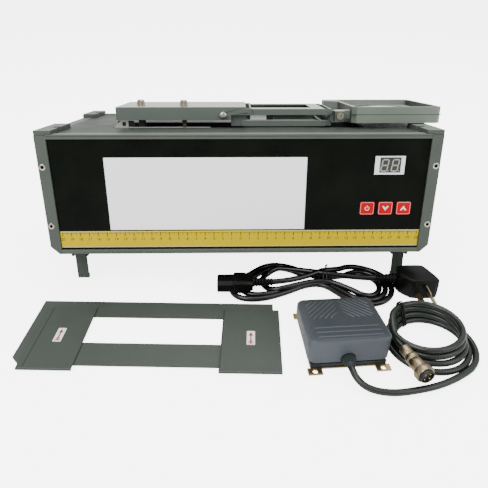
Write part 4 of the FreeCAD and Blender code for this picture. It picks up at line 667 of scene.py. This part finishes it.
def springs():
    """The two balance springs with their hooked ends, and the spring block's white and black parts."""
    low, high = span("balance_springs", CASE)
    block_low, block_high = span("spring_block", CASE)
    radius, turns, steps = 2.55, 16, 14 if FINE else 8
    start, end, bar = block_high.x + 1, 80.0, 84.0
    z = low.z + 3
    for name, y in (("front_spring", low.y + 3), ("rear_spring", high.y - 3)):
        points = [(block_high.x - 4, y, z), (block_high.x - 1, y, z)]
        for i in range(turns * steps + 1):
            angle, x = 2 * math.pi * i / steps, start + (end - start) * i / (turns * steps)
            points.append((x, y + radius * math.cos(angle), z + radius * math.sin(angle)))
        points += [
            (81.5, y + 1, z + 0.8), (83, y, z), (bar + 1.5, y, z + 1.2), (bar + 3, y, z + 0.2),
            (bar + 2.4, y, z - 1.6),
        ]
        wire("balance_" + name, points, 0.42, CASE, "spring", "upper")
    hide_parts("balance_springs")
    for colour, left, right, inset, node in (
        ("white", 12.2, 31, 0, "spring_block"), ("black", 31, 38.9, 0.2, None),
    ):
        parts = [
            moved(slab(round_rectangle(left, 141.6, right, 147.0, 0.8), front + inset, back - inset), way=-1)
            for front, back in ((block_low.y, block_low.y + 6), (block_high.y - 6, block_high.y))
        ]
        put("spring_block_" + colour, parts, FRONT, colour, "upper", 0.5, 3, node)


def lens_details():
    """The seam round the lens frame at mid height, and the lens's black seat ring."""
    low, high = span("lens_frame", CASE)
    seam = (low.z + high.z) / 2 + 0.5
    outline = round_rectangle(128.05, low.y - 0.05, high.x + 0.05, high.y - 0.3, 1.0)
    inner = round_rectangle(129, low.y + 1, high.x - 1, high.y - 1.3, 1.0)
    put("lens_frame_seam", [ring_slab(outline, inner, seam - 0.25, seam + 0.25)], CASE, "tray", "lens")
    lens_low, lens_high = span("magnifier_lens", CASE)
    middle = (lens_low + lens_high) / 2
    outer, hole = (circle(radius, 96, middle.x, middle.y) for radius in (47.6, 45.2))
    put("lens_ring", [ring_slab(outer, hole, high.z - 7.4, high.z - 6.6)], CASE, "tray", "lens", 0.2, 2)


# ---- foot switch

def pedal_cover():
    """The foot switch's hollow tread, cut open for the cord's gland, and the ribs on it."""
    low, high = span("pedal_cover", PEDAL)
    front_low, back_low, front_high, back_high, corner_radius = low.z, low.z + 3.5, high.z, 27.5, 8.0
    depth = high.y - low.y

    def between(y, front, back):
        return front + (back - front) * (y - low.y) / depth

    def ring(inset, rise, bend=None):
        """The outline drawn in by inset, at rise above the sloping top, or at the lower edge if rise is None."""
        points = []
        radius = bend or max(1.0, corner_radius - inset)
        for x, y in round_rectangle(low.x + inset, low.y + inset, high.x - inset, high.y - inset, radius, 8):
            edge = between(y, front_low, back_low) if rise is None else between(y, front_high, back_high) + rise
            points.append((x, y, edge))
        return points

    rings = [ring(0, None), ring(0, -6)]
    fillet = 3.4
    for step in range(1, 7):
        angle = math.pi / 2 * step / 6
        rings.append(ring(fillet * (1 - math.cos(angle)), -fillet + fillet * math.sin(angle)))
    rings += [ring(fillet + 2, 0.25), ring(fillet + 8, 0.4)]
    inner = [ring(8.2, -2.4, 2), ring(3, -2.5, 1.6), ring(2.2, -3.4, 1.6), ring(2.2, None, 1.6)]
    corners, faces = stack(rings + inner, closed=False)
    count = len(rings[0])
    last = (len(rings) - 1) * count
    # The hollow's roof is a cap of its own, so the skin that would join it to the tread's top is left out.
    caps = [tuple(start + i for i in range(count)) for start in (last, last + count)]
    skin = [face for face in faces if not (face[0] // count == len(rings) - 1 and face[2] // count == len(rings))]
    end = (len(rings) + len(inner) - 1) * count
    rim = [(i, (i + 1) % count, end + (i + 1) % count, end + i) for i in range(count)]
    piece = put("pedal_tread", [(corners, skin + caps + rim)], PEDAL, "cover", "treadle", node="pedal_cover")
    gland = span("cord_gland", PEDAL)
    x, z = (gland[0].x + gland[1].x) / 2, (gland[0].z + gland[1].z) / 2
    corners, faces = slab(circle(7.4, 48, x, z), -low.y - 8, -low.y + 4)
    carved(piece, [([(cx, -cz, cy) for cx, cy, cz in corners], faces)], PEDAL)

    def bar(first, last, radius):
        a, b = (Vector((x, y, between(y, front_high, back_high) + 0.17)) for x, y in (first, last))
        along = (b - a).normalized()
        side = Vector((-along.y, along.x, 0)).normalized()
        rings_of_bar = []
        for share, size in ((0, 0.35), (0.02, 0.8), (0.05, 1), (0.95, 1), (0.98, 0.8), (1, 0.35)):
            centre = a.lerp(b, share)
            rings_of_bar.append([
                centre + side * radius * size * math.cos(turn) + LEVEL_UP * radius * size * math.sin(turn)
                for turn in spread(0, 324, 10)
            ])
        return stack(rings_of_bar)

    bars = []
    back, fore, slope = high.y - 7, high.y - 38, 1.1
    for i in range(9):
        for way, edge, inner in ((1, low.x + 7, -2.5), (-1, high.x - 7, 2.5)):
            # Each rib climbs towards the middle, and is cut off at the ribbed field's edges.
            start_y = back - 6.4 * (i + 1) + 4
            start = edge + way * max(0.0, (fore - start_y) / slope)
            end_x = edge + way * min(abs(inner - edge), (back - start_y) / slope)
            if (end_x - start) * way > 3:
                first, last = ((x, start_y + abs(x - edge) * slope) for x in (start, end_x))
                bars.append(bar(first, last, 1.0))
    for y in (low.y + 6, low.y + 13, low.y + 20):
        bars.append(bar((low.x + 8, y), (high.x - 8, y), 1.1))
    put("pedal_ribs", bars, PEDAL, "rib", "treadle")


def gland():
    """The bush that the cord comes out of: a sleeve, a collar and four ridges that grow smaller."""
    low, high = span("cord_gland", PEDAL)
    place = shifted(PEDAL, (low.x + high.x) / 2, 0, (low.z + high.z) / 2, 90, "X")
    start, front = -high.y, -low.y
    profile = [
        (4.6, start), (4.9, start + 3), (4.9, front - 8), (6.6, front - 7.6), (7.0, front - 7),
        (7.0, front - 5.6),
    ]
    for i in range(4):
        rise, size = front - 5.4 + i * 1.4, 6.2 - i * 0.55
        profile += [(size - 0.7, rise), (size, rise + 0.35), (size, rise + 0.9)]
    profile += [(4.0, front + 0.6), (3.6, front + 2.4), (3.25, front + 4)]
    put("cord_gland_bush", [turned(profile)], place, "gland", "foot_switch", node="cord_gland")


# ---- cords


FOOT_RADIUS = 0.0032
FOOT_CORD_ROUTE = [
    (0.10075, -0.1414, 0.012), (0.1013, -0.1505, 0.0118), (0.1051, -0.159, 0.0092), (0.113, -0.1646, 0.0063),
    (0.1245, -0.1672, 0.0044), (0.139, -0.1677, 0.0036), (0.156, -0.165, 0.0034), (0.175, -0.161, 0.0034),
    (0.193, -0.1542, 0.0034), (0.2107, -0.1445, 0.0034),
]
# Where each turn of the coil lies, as (radius, height) in millimetres: on its spread side and on its tied side.
SPREAD_SIDE = [(44.5, 3.4), (37.9, 3.4), (32, 9), (28, 15), (25.5, 21), (25.5, 21.4)]
TIED_SIDE = [(42, 3.4), (35.4, 3.4), (38.6, 9.6), (41.5, 15.8), (42, 22)]
# The tie's path round the tied turns, as (radius, height).
TIE_LOOP = [
    (46, 3.4), (44.8, 1.0), (41.5, 0.7), (36, 0.7), (32.6, 1.0), (31.2, 3.5), (32.6, 7), (34.6, 10.6), (37, 15.8),
    (37.6, 22), (38.6, 25.4), (42, 26.8), (45.4, 25.4), (46.4, 22), (46, 15.8), (44.6, 9.6),
]
COIL_START = -60
COIL_TURNS = 4.6


def coil_points(centre):
    """The coil's turns, each easing from its spread side to its tied side and back."""
    points = []
    steps = 24
    for i in range(1, int(COIL_TURNS * steps) + 1):
        t = i / steps
        turn = int(t)
        share = (t - turn) * 2
        first, last = SPREAD_SIDE[turn], TIED_SIDE[turn]
        if share >= 1:
            first, last, share = last, SPREAD_SIDE[turn + 1], share - 1
        share = share * share * (3 - 2 * share)
        radius, height = ((a + (b - a) * share) * MM for a, b in zip(first, last))
        angle = math.radians(COIL_START + 360 * t)
        points.append(Vector((centre.x + radius * math.cos(angle), centre.y + radius * math.sin(angle), height)))
    return points


def foot_cord():
    """The foot switch's cord from its gland to the plug, the plug, and the coil's wire ties."""
    low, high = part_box("foot_coil")
    centre = (low + high) / 2
    # The node's box ends at the coil's right edge, and the coil's radius is half the box's depth.
    centre.x = high.x - (high.y - low.y) / 2
    points = [FLOOR @ Vector(p) for p in FOOT_CORD_ROUTE] + coil_points(centre)
    start = FLOOR @ Vector((0.155, -0.125, 0.016))
    tip = FLOOR @ Vector((0.165, -0.160, 0.016))
    along = (tip - start).normalized()
    lead_in = start - along * 0.014 + Vector((-0.0005, 0, -0.0008))
    points += [lead_in, start + along * 0.002, start + along * 0.012]
    made = tube("foot_switch_cord", points, FOOT_RADIUS, "foot_cord", "foot_switch", sides=6)
    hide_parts("foot_cord", "foot_coil")
    connector = round_plug(start, along)
    tie_angle = math.radians(COIL_START + 180)
    outward = Vector((math.cos(tie_angle), math.sin(tie_angle), 0))
    sideways = Vector((-outward.y, outward.x, 0))
    place = axes(outward, sideways, LEVEL_UP, Vector((centre.x, centre.y, 0)))
    for index, offset in enumerate((-1.2, 1.4)):
        loop = [(reach, offset, height) for reach, height in TIE_LOOP]
        wire("coil_tie_%d" % (index + 1), loop, 0.75, place, "tie", "foot_switch", True)
    ends = [(41.5, 0, 26.2), (39.5, 1, 27.6), (36, 2.5, 27), (32.5, 4, 23.5)]
    wire("coil_tie_tail", ends, 0.75, place, "tie", "foot_switch")


def round_plug(start, along):
    """The screw-ring plug: a stepped shell, a knurled ring and a four-pin insert."""
    side = LEVEL_UP.cross(along).normalized()
    place = axes(side, along.cross(side), along, start)
    shell = turned([
        (3.3, -2), (4.6, -1), (5.2, 0), (5.4, 1), (5.4, 9), (4.9, 9.6), (4.9, 10.4), (6.0, 11), (6.6, 12),
        (6.6, 16), (6.3, 16.4), (6.3, 17.2), (6.6, 17.6), (6.6, 26), (6.2, 27), (6.2, 28), (8.3, 28.4),
        (8.9, 29.4), (8.9, 34.4), (8.4, 35.2), (7.2, 35.3), (7.1, 31),
    ], 64, (17, 18))
    piece = put("round_plug_shell", [shell], place, "old_brass", "foot_switch", node="connector_shell")
    tip = turned([(7.0, 30.5), (7.0, 37.4), (6.6, 38.2), (6.0, 38.2), (5.8, 35.6), (1.6, 35.6), (1.5, 35.2)])
    put("round_plug_insert", [tip], place, "black", "foot_switch")
    pin, reach = turned([(0.7, 34), (0.7, 37), (0.45, 37.5), (0.15, 37.7)], 16), 3.6
    pins = [moved(pin, reach * math.cos(turn), reach * math.sin(turn)) for turn in spread(45, 315, 4)]
    put("round_plug_pins", pins, place, "brass", "foot_switch")
    return piece


MAINS_RADIUS = 0.0033
TIE_X = 99
# Where each of the hank's seven strands passes the tie, as (across, height) in millimetres.
TIED_STRANDS = [(6.2, 15.2), (-6.4, 3.5), (6.4, 3.5), (0, 3.5), (3.2, 9.3), (-3.3, 9.3), (0, 15.2)]
MAINS_START = [
    (20, -15.5, 14.2), (28, -15.5, 14.2), (38, -15.3, 14.3), (52, -13, 14), (70, -7, 13.5), (85, -0.5, 14),
]
MAINS_END = [
    (125, -4.5, 13.6), (145, -6.5, 12.6), (160, -7.6, 12.8), (172, -8, 13), (184, -8, 13), (192, -8.5, 13),
]
# The outer fold at the hank's left end, from the tie round under the appliance connector and back.
LEFT_FOLD = [
    (78, -7), (53, -21.5), (30, -31.5), (12, -34), (-3, -30.5), (-11, -19), (-8, -5), (4, 8), (17, 20.5),
    (29, 31), (44, 35), (66, 28), (85, 11),
]


# The height of a strand that lies on the floor, and from one fold to the next inside it, in millimetres.
LYING = 3.4
FOLD_PITCH = 7.2


def fold_height(share, first, last):
    """A fold comes down from its height at the tie, lies on the floor, and rises again to the other height."""
    fall, rise = max(0.0, 1 - 4 * share), max(0.0, 4 * share - 3)
    return LYING + (first - LYING) * fall * 0.6 + (last - LYING) * rise * 0.6


def arc_fold(x, y, wide, deep, angles, first, last):
    """A round fold about a middle point."""
    count = len(angles) - 1
    return [
        (x + wide * math.cos(angle), y + deep * math.sin(angle), fold_height(i / count, first, last))
        for i, angle in enumerate(angles)
    ]


def right_fold(inset, first, last):
    return arc_fold(144, -9.5, 33.5 - inset, 35 - inset, spread(138, -138, 15), first, last)


def left_fold(size, first, last):
    if size < 0.6:
        # The innermost fold is as round as the room inside the others allows.
        return arc_fold(44, 0, -18.5, -18.5, spread(104, -104, len(LEFT_FOLD)), first, last)
    count, middle_x = len(LEFT_FOLD) - 1, 38
    return [
        (middle_x + (x - middle_x) * size, y * size, fold_height(i / count, first, last))
        for i, (x, y) in enumerate(LEFT_FOLD)
    ]


def mains_lead():
    """The mains lead: a hank of three folds each way, its wire ties, and a connector and a plug at its ends."""
    points = list(MAINS_START)
    for turn in range(3):
        out, back, again = TIED_STRANDS[2 * turn:2 * turn + 3]
        points.append((TIE_X, *out))
        points += right_fold(FOLD_PITCH * turn, out[1], back[1])
        points.append((TIE_X, *back))
        points += left_fold(1 - 0.24 * turn, back[1], again[1])
    points.append((TIE_X, *TIED_STRANDS[6]))
    points += MAINS_END
    placed = [FLOOR @ (Vector(p) * MM) for p in points]
    made = tube("mains_cord", placed, MAINS_RADIUS, "mains", "mains_lead", sides=6)
    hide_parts("mains_hank")
    appliance = appliance_connector()
    plug, pins = wall_plug()
    for index, offset in enumerate((-2.2, 1.6)):
        loop = [
            (TIE_X + offset, 1 + 10.6 * math.cos(turn), 9.6 + 9.2 * math.sin(turn)) for turn in spread(0, 330, 12)
        ]
        wire("hank_tie_%d" % (index + 1), loop, 0.8, FLOOR, "tie", "mains_lead", True)
    ends = [(TIE_X + 1, 4, 18.6), (TIE_X + 4, 9, 20.5), (TIE_X + 6, 15, 17), (TIE_X + 5, 21, 11)]
    wire("hank_tie_tail", ends, 0.8, FLOOR, "tie", "mains_lead")


def lengthwise(y, z):
    """A frame on the floor, moved by millimetres, whose Z runs to the right."""
    return axes(Vector((0, 1, 0)), LEVEL_UP, RIGHT, FLOOR @ (Vector((0, y, z)) * MM))


def relief(name, place, start, end, first, last):
    """A tapered strain relief with seven ladder ribs, along the frame's Z."""
    profile, count = [(3.3, start)], 7
    pitch = (end - start) / count
    for i in range(count):
        size, base = first + (last - first) * (i / count), start + i * pitch
        profile += [(size - dip, base + pitch * at) for dip, at in ((0.9, 0.05), (0, 0.25), (0, 0.7), (0.9, 0.9))]
    profile += [(last + 0.3, end - 0.2), (last + 0.3, end)]
    put(name, [turned(profile, 40)], place, "moulded", "mains_lead")


def appliance_connector():
    """The appliance end: a nose with two cut corners, a grip with ridges and a strain relief."""
    low, high = span("c13_connector", FLOOR)
    middle = (low + high) / 2
    half_y, half_z = (high.y - low.y) / 2, (high.z - low.z) / 2
    along = lengthwise(middle.y, middle.z)

    def outline(inset, cut):
        y, z = half_y - inset, half_z - inset
        return [(-y, -z), (y, -z), (y, z - cut), (y - cut, z), (-y + cut, z), (-y, z - cut)]

    def skin(*rings):
        return stack([[(x, y, z) for x, y in outline(inset, cut)] for inset, cut, z in rings])

    nose = skin((0.6, 3.6, low.x), (0.4, 3.6, -8))
    grip = skin((-0.6, 2.6, -8.2), (-0.5, 2.6, 4), (0.6, 2.6, 9), (1.8, 2.2, 14))
    piece = put("appliance_plug", [nose, grip], along, "moulded", "mains_lead", 0.8, 3, "c13_connector")
    slots = [
        brick((x - 1.2, z - 2.2, low.x - 0.2), (x + 1.2, z + 2.2, low.x + 0.4))
        for x, z in ((-5.2, -1), (0, 1), (5.2, -1))
    ]
    put("appliance_plug_slots", slots, along, "dark", "mains_lead", 0.1, 1)
    ridges = [slab(outline(-0.9, 2.8), -4.5 + 2.8 * i, -3.4 + 2.8 * i) for i in range(4)]
    put("appliance_plug_ridges", ridges, along, "moulded", "mains_lead", 0.3, 2)
    relief("appliance_plug_relief", shifted(along, turn=180, about="Y"), -37, -13, 4.2, 5.6)
    return piece


def softened(outline):
    """The same outline with each corner cut off."""
    return [
        (a[0] + (b[0] - a[0]) * share, a[1] + (b[1] - a[1]) * share)
        for a, b in zip(outline, outline[1:] + outline[:1]) for share in (0.2, 0.8)
    ]


def wall_plug():
    """The wall end: a right-angled plug that widens towards its front, with three flat pins and a relief."""
    low, high = span("plug_body", FLOOR)
    outline = softened([
        (181, -17), (181, 0), (190, 3), (211, 3), (215.5, 1), (225.5, -26), (223, -31.5), (195, -31.5),
        (189, -26),
    ])
    mid_x, mid_y = 206, -16
    body = stack([
        [(mid_x + (x - mid_x) * share, mid_y + (y - mid_y) * share, height) for x, y in outline]
        for share, height in (
            (0.92, low.z + 0.05), (0.98, low.z + 1.5), (1.0, low.z + 5), (1.0, low.z + 17),
            (0.98, high.z - 2.6), (0.955, high.z - 0.9), (0.92, high.z - 0.2), (0.86, high.z),
        )
    ])
    piece = put("wall_plug_body", [body], FLOOR, "moulded", "mains_lead", node="plug_body")
    pins, tip, pins_x = [], span("plug_pins", FLOOR)[0].y, 207.75
    for x, z, turn in ((201, 8, 30), (214.5, 8, -30), (pins_x, 18, 90)):
        lean = math.radians(turn)
        half = Vector((math.cos(lean), math.sin(lean))) * 3.1
        thick = Vector((-math.sin(lean), math.cos(lean))) * 0.8
        rings = []
        for y, size in ((-29, 1), (tip + 2.5, 1), (tip, 0.72)):
            shifts = [half * a * size + thick * b for a, b in ((-1, -1), (1, -1), (1, 1), (-1, 1))]
            rings.append([(x + shift.x, y, z + shift.y) for shift in shifts])
        pins.append(stack(rings))
    blades = put("wall_plug_blades", pins, FLOOR, "old_brass", "mains_lead", 0.25, 2, "plug_pins")
    face = axes(RIGHT, LEVEL_UP, Vector((0, -1, 0)), FLOOR @ (Vector((pins_x, 0, 0)) * MM))
    front = slab(round_rectangle(-13, 3, 13, 22.5, 4), 28, 32)
    put("wall_plug_face", [front], face, "moulded", "mains_lead", 1.2, 3)
    relief("wall_plug_relief", lengthwise(-8, 13), 158, 184, 4.2, 6.4)
    return piece, blades


# ---- film mask

def mask_labels():
    """On each shutter a paper label with an arrow, a dark slit, and the fold along its front edge."""
    shapes = [[(-0.7, -8), (0.7, -8), (0.7, 3), (2.4, 3), (0, 8.5), (-2.4, 3), (-0.7, 3)]]
    for start in (-8.5, -6.5, -4.5):
        for way in (-1, 1):
            shapes.append([(way * x, start + y) for x, y in ((0.4, 0), (2.4, -1.6), (2.4, -0.6), (0.4, 1))])
    for node, body, slit_at in (("left_shutter", "left_slide", 6), ("right_shutter", "right_slide", 0.9)):
        low, high = span(node, MASK)
        x, y, top = (low.x + high.x) / 2, (low.y + high.y) / 2 + 1, high.z
        paper = slab(round_rectangle(x - 4.2, y - 10, x + 4.2, y + 10, 0.8), top - 0.1, top + 0.12)
        put(node + "_label", [paper], MASK, "label", body, 0.05, 1)
        arrows = [moved(slab(shape, top + 0.1, top + 0.16), x, y) for shape in shapes]
        put(node + "_arrow", arrows, MASK, "arrow", body)
        slit = low.x + slit_at
        line = brick((slit - 0.5, low.y + 3, top - 0.1), (slit + 0.5, high.y - 2, top + 0.04))
        put(node + "_slit", [line], MASK, "leg_base", body)
        fold = brick((low.x + 0.4, low.y + 0.3, top - 0.1), (high.x - 0.4, low.y + 0.9, top + 0.05))
        put(node + "_fold", [fold], MASK, "fold", body)


# ---- studio

def studio():
    """A white floor and backdrop, three soft lamps, and the photograph's camera."""
    mesh = bpy.data.meshes.new("floor")
    mesh.from_pydata([(-6, -6, -0.0004), (6, -6, -0.0004), (6, 6, -0.0004), (-6, 6, -0.0004)], [], [(0, 1, 2, 3)])
    floor = add("floor", mesh)
    paper = surface("floor_paper", (0.92, 0.92, 0.92), 0.8, mottle=0.01, grain=0.02, gloss=0.0)
    world = bpy.data.worlds.new("studio")
    bpy.context.scene.world = world
    world.use_nodes = True
    # The floor and the backdrop look brighter to the camera than the light they give.
    for tree, node, socket, given, seen in (
        (paper.node_tree, "Principled BSDF", "Emission Strength", 0.0, 5.0),
        (world.node_tree, "Background", "Strength", 0.95, 6.0),
    ):
        ray = tree.nodes.new("ShaderNodeLightPath").outputs["Is Camera Ray"]
        tree.links.new(ramp(tree, ray, given, seen), tree.nodes[node].inputs[socket])
    world.node_tree.nodes["Background"].inputs["Color"].default_value = (1, 1, 1, 1)
    mesh.materials.append(paper)
    middle = Vector((0, -0.03, 0.06))
    for name, place, size, power in (
        ("key_light", (-0.75, -0.95, 1.5), 1.1, 26), ("fill_light", (1.1, -0.7, 1.0), 1.0, 9),
        ("top_light", (0.1, 0.5, 1.6), 1.2, 20),
    ):
        lamp = bpy.data.lights.new(name, "AREA")
        lamp.energy, lamp.size = power, size
        made = add(name, lamp)
        made.location = place
        made.rotation_euler = (middle - Vector(place)).to_track_quat("-Z", "Y").to_euler()
    camera = add("camera", bpy.data.cameras.new("camera"))
    camera.data.lens, camera.data.sensor_width = 34.33, 36
    camera.data.clip_start = 0.01
    lean, yaw, pitch = (math.radians(angle) for angle in (-11, -0.976, 90 - 21.16))
    turn = Matrix.Rotation(lean, 4, "X") @ Matrix.Rotation(yaw, 4, "Z") @ Matrix.Rotation(pitch, 4, "X")
    camera.matrix_world = Matrix.Translation(FLOOR @ (Vector((-4.52, -446.26, 336.97)) * MM)) @ turn
    bpy.context.scene.camera = camera


dress_all()
window_seat()
ruler_marks()
display()
keys()
screws()
arm_knobs()
tray_bracket()
springs()
lens_details()
pedal_cover()
gland()
foot_cord()
mains_lead()
mask_labels()
studio()
